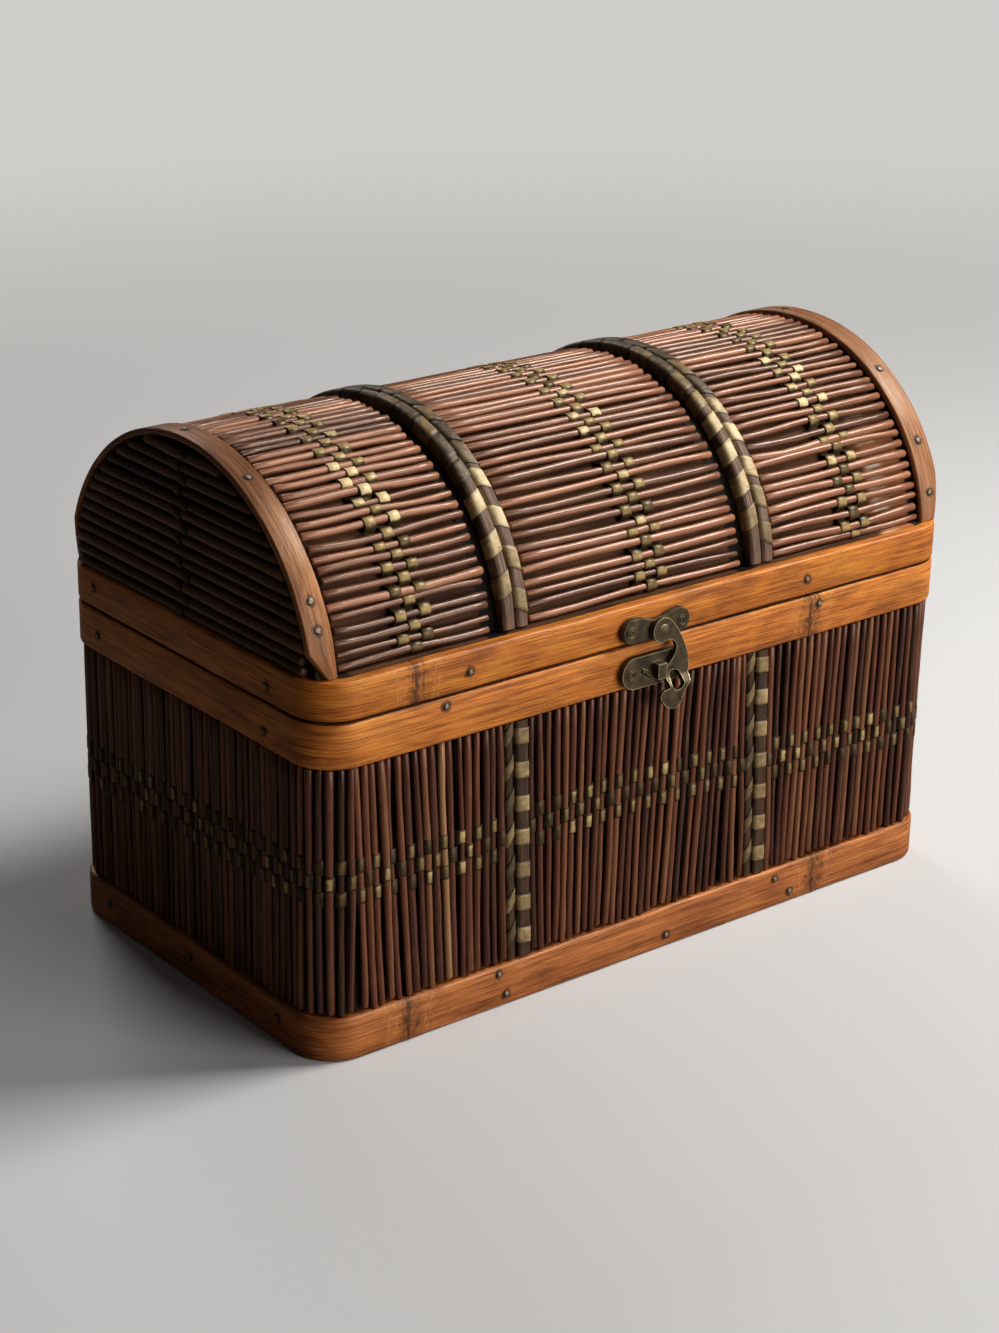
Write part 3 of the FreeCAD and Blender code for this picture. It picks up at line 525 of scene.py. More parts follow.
def capped(rings):
    """A tube with both ends closed: one more ring at each end, drawn together in its middle."""
    middles = with_ends(rings).mean(axis=1, keepdims=True)
    rings = with_ends(rings)
    rings[[0, -1]] = middles[[0, -1]]
    return rings


def strip_uv(along, across):
    """UV of a grid from the places along and across it in millimetres."""
    return np.stack(np.broadcast_arrays(along, across), -1).reshape(-1, 2) / UV_UNIT


def tube(rings, along, across, closed=False):
    """Points, faces and UV of a row of rings, which may close on itself."""
    quads = grid_quads(*rings.shape[:2], around=True, along=closed)
    return rings.reshape(-1, 3), quads, strip_uv(along, across)


rim_ring = (half_length, half_depth, corner_radius)
rim_length = ring_path(0.0, *rim_ring)[2]
print("A rim is", round(rim_length, 1), "mm round the box")

# %% [markdown]
# A bent rim isn't machined: its edges wander by a fraction of a millimetre, its face swells a
# little and it stands up in a low ridge at each cane joint. At the back its outer end laps over
# the start.

# %% Bent bamboo rims


def bent_rim(z_low, z_high, seed, scars):
    """Points, faces and UV of one rim: a section carried round the box and closed on itself.

    A ridge is 0.16 exp(-(gap / 1.3)^2) high, and the lap 0.4 exp(-distance / 18).
    """
    edge_gap, edge_wander, face_depth = 0.18, 0.16, 0.22
    height = z_high - z_low
    distance = np.linspace(0, rim_length, 760, endpoint=False)
    section = rounded_section(height, strip_thickness, 0.25, 1.0)
    top = waver(distance, seed, 120.0, edge_wander) - edge_gap
    foot = waver(distance, seed + 1, 150.0, edge_wander) + edge_gap
    if z_low < edge_gap:
        foot = np.zeros_like(distance)
    ridge = sum(0.16 * np.exp(-((distance - scar) / 1.3) ** 2) for scar in scars)
    lap = 0.4 * np.exp(-distance / 18.0)
    sink = face_depth - ridge + lap + waver(distance, seed + 2, 70.0, 0.05)
    sink = np.clip(sink, 0.0, None)[:, None]
    share = section[:, 0] / height + 0.5
    inward = (strip_thickness - section[:, 1]) * (1 - sink / strip_thickness) + sink
    point, outward, _ = ring_path(distance, *rim_ring)
    points = point[:, None, :] - outward[:, None, :] * inward[..., None]
    points[..., 2] = z_low + foot[:, None] + share * (height + top - foot)[:, None]
    return tube(points, distance[:, None], walked(section) + seed * 30.0, closed=True)


def front_distance(x):
    """How far along the rim the place x on the front lies."""
    return rim_length / 2 + x


rims = {
    "base_band": ("box", base_nails, [front_distance(-93.0), front_distance(71.0), 60.0],
                  ((206, 128, 68), (170, 96, 46), (116, 60, 30))),
    "body_rim": ("box", body_rim_nails, [front_distance(63.0), 90.0],
                 ((230, 148, 62), (206, 118, 44), (146, 74, 28))),
    "lid_rim": ("lid", lid_rim_nails, [front_distance(-91.0), 640.0],
                ((222, 142, 52), (196, 110, 36), (134, 66, 22)))}
for seed, (node, (body, nails, scars, colours)) in enumerate(rims.items()):
    low, high = node_box(node)
    mesh = make_mesh(node + "_strip", *bent_rim(low[2], high[2], seed + 3, scars))
    finish = bamboo_finish(node + "_bamboo", colours, nails, scars, 1.45)
    add_piece(mesh, finish, body, "bamboo", [node], sharp=50)

# %% [markdown]
# The two strips over the ends of the dome are cut from thinner bamboo. Each is clipped at its feet,
# where it meets the round corner of the lid's rim.

# %% Strips over the ends of the dome
strip_foot = lid_rim_top + 0.05
strip_arch = (arch_half_width, arch_rise, strip_foot)
arch_turns = {"left": (18.8, 26.6, 64.2, 93.4, 122.0, 153.0, 161.0),
              "right": (14.0, 29.9, 54.9, 96.7, 125.0, 150.0, 163.0)}


def arch_strip(side, seed):
    """A flat bar carried over the arch and narrowed at its feet, most at the left front."""
    width, thickness = arch_high[0] - arch_low[0], 2.0
    distance = np.linspace(0, arch_path(0.0, *strip_arch)[2], 200)
    section = rounded_section(width, thickness, 0.2, 0.7)
    point, outward, _ = arch_path(distance, *strip_arch)
    share = section[:, 0] / width + 0.5
    wide_clip = (point[:, 1] < 0) & (side > 0)
    clip_width, clip_height = np.where(wide_clip, 5.6, 2.8), np.where(wide_clip, 8.0, 14.0)
    cut = clip_width * np.clip(1 - (point[:, 2] - strip_foot) / clip_height, 0, 1)
    outer_edge = cut + 0.12 + waver(distance, seed, 60.0, 0.1)
    inner_edge = width - 0.15 + waver(distance, seed + 1, 50.0, 0.14)
    sink = 0.08 + waver(distance, seed + 2, 45.0, 0.05)
    depth = thickness - section[:, 1] + sink[:, None]
    points = point[:, None, :] - outward[:, None, :] * depth[..., None]
    points[..., 0] = arch_low[0] + outer_edge[:, None] + share * (inner_edge - outer_edge)[:, None]
    points = capped(points) * np.array([side, 1, 1])
    return tube(points, with_ends(distance)[:, None], walked(section) + seed * 41.0)


def arch_nail_places(side, turns):
    """Places and directions of the nails of one strip, at their angles over the arch in degrees."""
    angle = np.radians(np.array(turns))
    x = np.full_like(angle, side * (arch_low[0] + arch_high[0]) / 2)
    y, z = -arch_half_width * np.cos(angle), arch_centre + arch_rise * np.sin(angle)
    outward = np.stack([0 * x, -np.cos(angle) / arch_half_width, np.sin(angle) / arch_rise], -1)
    return np.stack([x, y, z], -1), outward / np.linalg.norm(outward, axis=1, keepdims=True)


arch_nails = []
# The right strip's colours are paler than the left's, as a painted highlight on it. Both strips are
# painted darker towards the top.
for name, side, seed, top_darkening, colours in (
        ("left", 1, 31, 0.6, ((184, 126, 80), (146, 92, 56), (90, 52, 32))),
        ("right", -1, 47, 0.3, ((182, 132, 96), (154, 104, 71), (106, 64, 42)))):
    mesh = make_mesh("arch_strip_" + name, *arch_strip(side, seed))
    nails = list(arch_nail_places(side, arch_turns[name])[0])
    arch_nails += nails
    finish = bamboo_finish("arch_" + name + "_bamboo", colours, nails, [150.0], 1.3, 0.6, top_darkening)
    add_piece(mesh, finish, "lid", "bamboo", ["arch_band_" + name], sharp=50)

# %% [markdown]
# ## Reeds
# The covering is some four hundred thin sticks. Each is a tube with few faces, because there are so
# many: its middle line leans and bows a little, it tapers, and its ends are rounded off. All the
# sticks of one side are worked out together as one array.

# %% Bundles of reeds


def reed_lines(starts, ends, outward, seed, bow):
    """A function that gives the middle of every reed at a share v of its length.

    The middle is start + (end - start) v, moved sideways by three sine waves, bow sin(pi v) and
    weaker ones with two and three halves, and lifted a little by one.
    """
    rng = np.random.default_rng(seed)
    count = len(starts)
    span = (ends - starts)[:, None]
    across = np.cross(span[:, 0] / np.linalg.norm(span[:, 0], axis=1)[:, None], outward)
    size = bow * rng.standard_normal((3, count, 1)) * np.array([1.0, 0.6, 0.35])[:, None, None]
    rise = 0.12 * rng.standard_normal((count, 1))

    def middle(v, chosen=slice(None)):
        sway = sum(size[k][chosen] * np.sin((k + 1) * np.pi * v) for k in range(3))
        lift = rise[chosen] * np.sin(np.pi * v)
        return (starts[chosen, None] + span[chosen] * v[..., None]
                + across[chosen, None] * sway[..., None] + outward[chosen, None] * lift[..., None])

    return middle


def reed_bundle(line, starts, ends, outward, radius, seed, chosen=slice(None)):
    """Points, faces, UV and tone of many tubes at once, along the middle lines of chosen reeds.

    A radius differs by up to an eighth from one end to the other. The rings at both ends shrink
    to a point, which closes the tube.
    """
    rng = np.random.default_rng(seed)
    starts, ends, outward, radius = starts[chosen], ends[chosen], outward[chosen], radius[chosen]
    count, sides = len(starts), 8
    length = np.linalg.norm(ends - starts, axis=1)
    across = np.cross((ends - starts) / length[:, None], outward)
    tip = (0.5 / length)[:, None]
    inner = np.linspace(0.1, 0.9, 8)[None, :] + 0 * tip
    v = np.hstack([0 * tip, 0 * tip, tip, inner, 1 - tip, 0 * tip + 1, 0 * tip + 1])
    ring = np.concatenate([[0.0, 0.72], np.ones(10), [0.72, 0.0]])
    taper = rng.uniform(-0.12, 0.12, count)[:, None] * (v - 0.5)
    swell = 1 + taper + 0.05 * rng.standard_normal(v.shape)
    reach = radius[:, None] * ring * swell
    angle = np.linspace(0, 2 * np.pi, sides, endpoint=False)
    around = (across[:, None, None] * np.cos(angle)[:, None]
              + outward[:, None, None] * np.sin(angle)[:, None])
    points = line(v, chosen)[:, :, None] + around * reach[..., None, None]
    size = v.shape[1] * sides
    faces = copied(grid_quads(v.shape[1], sides, around=True), count, size)
    walk = v * length[:, None] + rng.uniform(0, 900, count)[:, None]
    tone = rng.uniform(0, 1, count).repeat(size)
    return points.reshape(-1, 3), faces, strip_uv(walk[..., None], angle * 1.2), tone


def reed_finish(name, stops, worn_colour, shine, coat):
    """Stained reed: one tone for each stick, streaks along it, and small dark specks."""
    finish = Finish(name)
    strip = finish.along_strip()
    tone = finish.attribute("tone")
    streaks = finish.noise(strip, (26.0, 0.5, 1.0))
    mottle = finish.noise(strip, (7.0, 1.6, 1.0))
    shade = tone * 0.72 + streaks * 0.34 + mottle * 0.3 - 0.18
    colour = finish.ramp(shade, stops)
    worn = finish.fade(streaks * 0.6 + mottle * 0.4, 0.54, 0.68)
    colour = finish.blend(worn * 0.45, colour, worn_colour)
    specks = finish.spots(strip, (1.1, 0.7, 1.0), 0.7, 0.76, detail=1.0)
    colour = finish.blend(specks * 0.55, colour, paint(30, 20, 17))
    relief = finish.bump(streaks + mottle * 0.6, 0.12, 0.6)
    return finish.surface(colour, shine + streaks * 0.25 - 0.12, {
        "Normal": relief, "Specular Tint": paint(255, 222, 198), "Coat Weight": coat,
        "Coat Roughness": 0.2})


lid_reed_colour = reed_finish(
    "lid_reed", [(0.05, paint(56, 37, 32)), (0.3, paint(100, 64, 48)), (0.55, paint(136, 88, 64)),
                 (0.85, paint(160, 108, 80))], paint(190, 136, 102), 0.34, 0.24)
body_reed_colour = reed_finish(
    "body_reed", [(0.0, paint(34, 21, 19)), (0.3, paint(70, 39, 30)), (0.58, paint(100, 56, 40)),
                  (0.85, paint(130, 84, 57)), (1.0, paint(164, 122, 86))],
    paint(146, 100, 74), 0.36, 0.2)
print("The reeds of the lid and of the body have their finishes")

# %% [markdown]
# On the body the reeds stand between the base band and the rim. They were pushed together by hand,
# so whole stretches lean. Beside the straps they lean as the straps do.

# %% Reeds of the body
strap_places = ((-55.5, -50.7, 3.0), (40.7, 45.4, 3.3))
strap_edges = [(thin - 1.5, wide + 2.4) for thin, wide, _ in strap_places]
body_reed_radius = 1.1
body_reed_pitch = 3.0
reed_ring = (carcass_half_length + reed_lift, carcass_half_depth + reed_lift,
             corner_radius - strip_thickness + reed_lift)
lean_table = ([-125, -110, -95, -80, -66, -49, -28, -10, 18, 36, 46, 60, 80, 100, 125],
              [1.0, 3.4, 4.8, 4.0, 1.2, 2.4, 0.2, -2.2, -3.2, -1.2, 0.0, -1.4, -2.0, -1.2, 0.0])


def body_run(first, last, seed):
    """Feet, tops and outward directions of the reeds between two distances round the box.

    The front leans as the table says for each x, and the other sides by chance.
    """
    rng = np.random.default_rng(seed)
    strap_lean = strap_places[0][2]
    count = int((last - first) / body_reed_pitch) + 1
    distance = np.linspace(first, last, count)
    distance[1:-1] += rng.uniform(-0.35, 0.35, count - 2)
    feet, outward, _ = ring_path(distance, *reed_ring)
    on_front = outward[:, 1] < -0.999
    ends = np.minimum(distance - first, last - distance)
    free = np.interp(feet[:, 0], *lean_table) * on_front + (1 - on_front) * rng.normal(0, 0.5, count)
    lean = strap_lean * on_front + (free - strap_lean * on_front) * np.clip(ends / 9.0, 0, 1)
    along = np.stack([-outward[:, 1], outward[:, 0], 0 * lean], -1)
    foot = feet + along * (lean / 2)[:, None]
    top = feet - along * (lean / 2)[:, None]
    foot[:, 2] = base_band_top + rng.uniform(-0.3, 1.2, count)
    top[:, 2] = body_rim_bottom - 0.2
    return foot, top, outward


def run_distances():
    """The four runs of reeds as pairs of distances, between the front and the back straps."""
    total = ring_path(0.0, *reed_ring)[2]
    margin = body_reed_radius + 0.4
    (left_a, left_b), (right_a, right_b) = strap_edges
    return [(-left_a + margin, total / 2 + left_a - margin),
            (total / 2 + left_b + margin, total / 2 + right_a - margin),
            (total / 2 + right_b + margin, total - right_b - margin),
            (total - right_a + margin, total - left_b - margin)]


body_runs = [body_run(*ends, seed + 60) for seed, ends in enumerate(run_distances())]
body_feet, body_tops, body_outward = (np.vstack(arrays) for arrays in zip(*body_runs))
print("Body reeds:", [len(feet) for feet, _, _ in body_runs])

# %% [markdown]
# The solid model keeps the reeds of each side as one piece, so the sticks are sorted by the way
# they face. One reed on the left of the front was never stained as dark as the rest.

# %% Stand the reeds round the body
tan_reed_x, tan_tone = -77.8, 1.25
body_line = reed_lines(body_feet, body_tops, body_outward, 7, 0.26)
tan_reed = int(np.argmin(np.hypot(body_feet[:, 0] - tan_reed_x, body_feet[:, 1] + half_depth)))
spread = np.random.default_rng(8).normal(0, 0.09, len(body_feet))
body_radii = np.clip(body_reed_radius * (1 + spread), 0.86, 1.34)
straight = np.abs(body_outward).max(axis=1) > 0.999
facing = {"front_reeds": (1, -1), "back_reeds": (1, 1), "left_reeds": (0, -1), "right_reeds": (0, 1)}
sides = {node: straight & (sign * body_outward[:, axis] > 0.9)
         for node, (axis, sign) in facing.items()}
sides["corner_reeds"] = ~straight
for seed, (node, chosen) in enumerate(sides.items()):
    *shape, tone = reed_bundle(body_line, body_feet, body_tops, body_outward, body_radii,
                               seed + 70, chosen)
    if chosen[tan_reed]:
        tone.reshape(chosen.sum(), -1)[chosen[:tan_reed].sum()] = tan_tone
    mesh = make_mesh(node + "_sticks", *shape, {"tone": tone})
    add_piece(mesh, body_reed_colour, "box", "reed", [node])

# %% [markdown]
# ## Woven strands
# A flat golden strand passes outside one reed and inside the next. Round each reed its middle line
# is half an ellipse: half a pitch to either side and one reach outwards or inwards. The strand keeps
# two values for its colour: the crown, cos(phi) times the side, which is 1 where it crosses over a
# reed, and how far its skin is rubbed to pale straw there, one value for each crossing.

# %% Weave flat strands through the reeds


def woven_strip(centres, outward, axis, first_side, width, reach, rubbed):
    """Points, faces, UV and the two values of one strip through a row of reeds.

    At the angle phi from -90 to 90 degrees round a reed, the strip is half a gap times sin(phi)
    along the row and one reach times cos(phi) to its side.
    """
    thickness, steps = 0.24, 8
    side = np.where(np.arange(len(centres)) % 2 == 0, -first_side, first_side)
    gaps = with_ends(np.linalg.norm(np.diff(centres, axis=0), axis=1) / 2)
    along = np.gradient(centres, axis=0)
    along -= outward * np.einsum("ij,ij->i", along, outward)[:, None]
    along /= np.linalg.norm(along, axis=1, keepdims=True)
    phi = np.linspace(-np.pi / 2, np.pi / 2, steps + 1)[:-1] + np.pi / (2 * steps)
    half_gap = np.where(phi[None] < 0, gaps[:-1, None], gaps[1:, None])
    path = (centres[:, None] + along[:, None] * (half_gap * np.sin(phi))[..., None]
            + outward[:, None] * (side[:, None] * reach[:, None] * np.cos(phi))[..., None])
    path = path.reshape(-1, 3)
    crown = (side[:, None] * np.cos(phi)).ravel()
    face = np.cross(axis, np.gradient(path, axis=0))
    face /= np.linalg.norm(face, axis=1, keepdims=True)
    if (face[steps // 2] * outward[0]).sum() * side[0] < 0:
        face = -face
    section = rounded_section(width, thickness, 0.1, 0.1, steps=2) - [0, thickness / 2]
    points = path[:, None] + axis * section[None, :, :1] + face[:, None] * section[None, :, 1:]
    values = with_ends(np.stack([crown, rubbed.repeat(steps)], -1)).repeat(len(section), axis=0)
    return *tube(capped(points), with_ends(walked(path))[:, None], section[:, 0]), values


def add_strands(name, parts, finish, body, replaced):
    """Join woven strips into one piece with their two colour values."""
    *shape, values = joined(parts)
    mesh = make_mesh(name, *shape, {"crown": values[:, 0], "rubbed": values[:, 1]})
    add_piece(mesh, finish, body, "woven_strand", [replaced], sharp=60)


def strand_finish(name, pale, lit_gold, olive, shine, skin_from, line_from):
    """Flat straw strand: olive brown, with a golden line over each reed's crown, pale where it is
    rubbed.

    The golden line on the crown is painted light, and the darker olive of the flanks painted shade.
    The pale skin begins at the crown value skin_from and the golden line at line_from, so high
    values leave narrow caps. A crossing that is hardly rubbed keeps a dull line.
    """
    finish = Finish(name)
    strip = finish.along_strip()
    place = finish.place()
    crown = finish.attribute("crown")
    rubbed = finish.attribute("rubbed")
    lines = finish.noise(strip, (9.0, 0.5, 1.0))
    drift = finish.noise(place, (4.0, 3.0, 3.0))
    colour = finish.ramp(drift, [(0.34, paint(28, 22, 15)), (0.62, olive)])
    edge = finish.fade(finish.part_of(strip, "Y").away_from(0.0) + drift * 0.5, 2.2, 1.85)
    # Painted light: the golden line is laid only where the strand crowns a reed, and elsewhere the dark
    # base stays as painted shade.
    line = finish.fade(crown + (drift - 0.5) * 0.2, line_from, 0.98) * edge
    bright = 0.15 + 0.7 * finish.fade(rubbed, -0.05, 0.2)
    colour = finish.blend(line * bright, colour, lit_gold)
    skin = finish.fade(crown * 0.4 + rubbed + (drift - 0.5) * 0.5, 0.75, 0.95) * edge
    colour = finish.blend(skin * finish.fade(crown, skin_from, skin_from + 0.25), colour, pale)
    colour = finish.blend(finish.fade(lines, 0.55, 0.7) * 0.35, colour, paint(92, 78, 44))
    return finish.surface(colour, shine + lines * 0.2, {
        "Normal": finish.bump(lines, 0.06, 0.6), "Specular IOR Level": 0.4,
        "Specular Tint": paint(255, 230, 192)})


body_strand_colour = strand_finish("body_strand", paint(182, 158, 106), paint(138, 116, 74),
                                   paint(48, 32, 21), 0.36, 0.68, 0.8)
strand_width, strand_pitch = 4.6, 4.9
weave_table = ([-125, -120, -65, -46, -10, 20, 36, 60, 100, 125],
               [57.0, 56.5, 54.5, 56.0, 57.0, 55.5, 54.0, 52.0, 50.3, 50.0])


def weave_height(feet):
    """Height of the middle strand: read from the photograph on the front, lower to the back left."""
    sink = 5.0 * np.clip((feet[:, 1] + 60) / 120, 0, 1) * np.clip(-feet[:, 0] / 110, 0, 1)
    return np.interp(feet[:, 0], *weave_table) - sink


run_starts = np.cumsum([0] + [len(feet) for feet, _, _ in body_runs])
for name, row, first_side in (("upper", 1, 1), ("middle", 0, -1), ("lower", -1, 1)):
    rng = np.random.default_rng(150 + row)
    parts = []
    for first, last in zip(run_starts[:-1], run_starts[1:]):
        chosen = slice(first, last)
        feet, tops = body_feet[chosen], body_tops[chosen]
        height = weave_height(feet) + row * strand_pitch
        share = (height - feet[:, 2]) / (tops[:, 2] - feet[:, 2])
        centres = body_line(share[:, None], chosen)[:, 0]
        rubbed = rng.uniform(-0.2, 0.56, len(feet))
        reach = body_radii[chosen] + rng.uniform(-0.03, 0.1, len(feet))
        parts.append(woven_strip(centres, body_outward[chosen], np.array([0.0, 0.0, 1.0]),
                                 first_side, strand_width, reach, rubbed))
    add_strands("body_strand_" + name, parts, body_strand_colour, "box", "body_weave_" + name)

# %% [markdown]
# ## Reeds and strands of the dome
# Fifty-two reeds lie along the dome, cut in three lengths by the straps. Left of each strap the
# ends stop a little short, which leaves a slot where the board is painted black as painted shadow.
# Three strands cross each section, and one zone of them on the front is rubbed paler than the rest.

# %% Lay the reeds over the dome
lid_reed_radius = 1.15
lid_reed_count = 52
lid_strand_width, lid_strand_pitch, lid_strand_gap = 3.9, 4.3, 0.14
reed_arch = (dome_half_width + reed_lift, dome_rise + reed_lift, lid_rim_top + 1.55)
sections = {"left": (-113.8, -60.2, -87.0), "middle": (-46.6, 36.6, 0.5),
            "right": (50.4, 114.0, 86.0)}
lid_strand_colour = strand_finish("lid_strand", paint(222, 198, 150), paint(166, 140, 90),
                                  paint(72, 56, 35), 0.24, 0.2, 0.6)


def dome_places(seed):
    """Where the reeds of one section cross the arch: an even pitch with some unevenness."""
    rng = np.random.default_rng(seed)
    distance = np.linspace(0, arch_path(0.0, *reed_arch)[2], lid_reed_count)
    jitter = rng.uniform(-0.45, 0.45, (2, lid_reed_count))
    jitter[:, [0, -1]] = 0
    starts, outward, _ = arch_path(distance + jitter[0], *reed_arch)
    ends, _, _ = arch_path(distance + jitter[1], *reed_arch)
    return starts, ends, outward


for seed, (name, (x_low, x_high, weave_x)) in enumerate(sections.items()):
    rng = np.random.default_rng(seed + 20)
    starts, ends, outward = dome_places(seed + 90)
    starts[:, 0] = x_low + rng.uniform(-0.5, 0.7, lid_reed_count)
    ends[:, 0] = x_high + rng.uniform(-0.8, 0.5, lid_reed_count)
    radii = np.clip(lid_reed_radius * (1 + rng.normal(0, 0.09, lid_reed_count)), 0.92, 1.38)
    line = reed_lines(starts, ends, outward, seed + 100, 0.38)
    *shape, tone = reed_bundle(line, starts, ends, outward, radii, seed + 110)
    mesh = make_mesh("dome_sticks_" + name, *shape, {"tone": tone})
    add_piece(mesh, lid_reed_colour, "lid", "reed", ["lid_reeds_" + name])
    parts = []
    pale_zone = 0.42 * np.exp(-((np.arange(lid_reed_count) - 15.5) / 4.5) ** 2)
    for row, first_side in ((-1, 1), (0, -1), (1, 1)):
        x = weave_x + row * lid_strand_pitch
        centres = line(((x - starts[:, 0]) / (ends[:, 0] - starts[:, 0]))[:, None])[:, 0]
        centres[:, 0] = x
        rubbed = pale_zone + rng.uniform(-0.1, 0.42, lid_reed_count)
        parts.append(woven_strip(centres, outward, np.array([1.0, 0.0, 0.0]), first_side,
                                 lid_strand_width, radii + lid_strand_gap, rubbed))
    add_strands("dome_strand_" + name, parts, lid_strand_colour, "lid", "lid_weave_" + name)

# %% [markdown]
# The rounded ends of the lid are closed with thicker, less glossy reeds that lie level, one over the
# other, each as long as the arch is wide at its height. Two strands climb through their middle. Both
# are painted darker than the dome's reeds and strands, as painted shade on the ends.

# %% Reeds and strands of the rounded ends
end_low, end_high = node_box("left_end_reeds")
end_pitch = 3.65
end_reed_radius = 1.5
end_margin = 1.2
end_count = int(round((end_high[2] - end_low[2] - 2 * end_margin) / end_pitch)) + 1
end_x = -(carcass_half_length + reed_lift)
end_half_width, end_rise = arch_half_width - 2.0, arch_rise - 2.0
# Painted shade: the reeds and strands of the ends get darker copies of the dome's colours.
shaded_end_reed_colour = reed_finish(
    "end_reed_painted_shade", [(0.0, paint(46, 31, 24)), (0.4, paint(78, 52, 38)), (0.8, paint(112, 76, 54)),
                 (1.0, paint(136, 96, 68))], paint(136, 98, 72), 0.5, 0.05)
shaded_end_strand_colour = strand_finish("end_strand_painted_shade", paint(104, 88, 60), paint(76, 63, 42),
                                  paint(42, 34, 24), 0.44, 0.5, 0.84)
for side, name in ((1, "left"), (-1, "right")):
    rng = np.random.default_rng(200 + side)
    z = end_low[2] + end_margin + end_pitch * np.arange(end_count)
    reach = end_half_width * np.sqrt(1 - ((z + 1.2 - arch_centre) / end_rise) ** 2) - 0.5
    reach = np.minimum(reach, half_depth - corner_radius * 0.62 - (z < lid_rim_top + 8) * 1.0)
    flat = np.full(end_count, end_x * side)
    tilt = rng.uniform(-0.3, 0.3, end_count)
    starts = np.stack([flat, -reach, z + tilt], -1)
    ends = np.stack([flat, reach, z - tilt], -1)
    outward = np.tile([-1.0 * side, 0.0, 0.0], (end_count, 1))
    radii = np.clip(end_reed_radius * (1 + rng.normal(0, 0.07, end_count)), 1.3, 1.7)
    line = reed_lines(starts, ends, outward, 120 + side, 0.12)
    *shape, tone = reed_bundle(line, starts, ends, outward, radii, 130 + side)
    mesh = make_mesh("end_sticks_" + name, *shape, {"tone": tone})
    add_piece(mesh, shaded_end_reed_colour, "lid", "reed", [name + "_end_reeds"])
    parts = []
    for offset, first_side in ((-1.75, 1), (1.75, -1)):
        centres = np.stack([flat, np.full(end_count, offset), z], -1)
        rubbed = rng.uniform(-0.2, 0.3, end_count)
        parts.append(woven_strip(centres, outward, np.array([0.0, 1.0, 0.0]), first_side, 3.2,
                                 radii + 0.12, rubbed))
    add_strands("end_strand_" + name, parts, shaded_end_strand_colour, "lid", name + "_end_weave")

# %% [markdown]
# ## Wrapped straps
# Two rods lie side by side. A flat golden band is wound round each, so that slanted blocks of it
# alternate with the dark rod, and the blocks of a pair lean towards each other like a herringbone.
# A rod is a rounded bar carried along its path, and a block is a slightly fatter bar whose ends
# are slanted: the distance along the path grows with the place across the bar.

# %% Carry a bar along a path


def bar(path, start, end, width, height, slope, rows):
    """Points, faces and UV of a rounded bar from one distance to another, closed at both ends."""
    section = rounded_section(width, height, 0.15, min(width / 2.4, height / 2.6), steps=5)
    distance = np.linspace(start, end, rows)[:, None] + slope * section[None, :, 0]
    middle, outward, across = path(distance)
    points = middle + across * section[None, :, :1] + outward * section[None, :, 1:]
    ends = [path(np.full((1, len(section)), place)) for place in (start, end)]
    first, last = (middle + outward * (height / 2) for middle, outward, _ in ends)
    return tube(np.concatenate([first, points, last]), with_ends(distance), section[:, 0])


def wrapped_strand(path, start, end, width, height, blocks, slope):
    """A dark rod and its golden blocks, the darker the fatter.

    A block keeps its brightness, and a second value that is 1 along its two joints.
    """
    rod = bar(path, start, end, width, height, 0.0, rows=60)
    joint_rows = np.array([1.0, 1.0, 0, 0, 0, 0, 0, 0, 1.0, 1.0])
    bands = []
    for middle, length, bright in blocks:
        swell = 0.14 * (2.4 - 1.6 * bright)
        shape = bar(path, middle - length / 2, middle + length / 2, width + 2 * swell,
                    height + swell, slope, rows=len(joint_rows) - 2)
        joint = joint_rows.repeat(len(shape[0]) // len(joint_rows))
        bands.append((*shape, np.stack([np.full(len(joint), bright), joint], -1)))
    return rod, bands


def rod_finish(name, deep, middle, pale):
    """The bare rod of a strap: dark purple-brown wood with lighter fibres along it."""
    finish = Finish(name)
    strip = finish.along_strip()
    fibres = finish.noise(strip, (14.0, 0.3, 1.0))
    patches = finish.noise(strip, (9.0, 3.0, 1.0), detail=2.0)
    stops = [(0.38, deep), (0.52, middle), (0.66, pale)]
    colour = finish.ramp(fibres * 0.7 + patches * 0.3, stops)
    return finish.surface(colour, 0.55 + fibres * 0.2, {
        "Normal": finish.bump(fibres, 0.14, 0.8), "Specular IOR Level": 0.3})


def block_finish(name):
    """The golden blocks of a strap, each from pale straw to dark olive by its brightness."""
    finish = Finish(name)
    joint = finish.attribute("joint")
    lines = finish.noise(finish.along_strip(), (1.2, 5.0, 1.0))
    cloud = finish.noise(finish.place(), (3.0, 3.0, 3.0))
    level = finish.attribute("bright") + (cloud - 0.5) * 0.7
    colour = finish.ramp(level, [(0.0, paint(46, 35, 25)), (0.3, paint(90, 72, 47)),
                                 (0.62, paint(146, 122, 80)), (0.95, paint(212, 188, 142))])
    colour = finish.blend(finish.fade(lines, 0.56, 0.7) * 0.5, colour, paint(80, 66, 42))
    # Painted shade: each block is painted near black along its joints with the rod, where the step
    # shades it.
    painted_joint_shade = finish.fade(joint + cloud * 0.3, 0.7, 1.0)
    colour = finish.blend(painted_joint_shade * 0.8, colour, paint(24, 19, 13))
    relief = finish.bump(lines + cloud * 1.2 - joint * 1.6, 0.22, 0.9)
    return finish.surface(colour, 0.42 + lines * 0.2, {"Normal": relief})


dome_rod_colour = rod_finish("dome_strap_rod", paint(60, 45, 37), paint(112, 88, 72),
                             paint(158, 130, 108))
wall_rod_colour = rod_finish("wall_strap_rod", paint(36, 25, 18), paint(68, 47, 31),
                             paint(100, 73, 48))
block_colour = block_finish("strap_block")


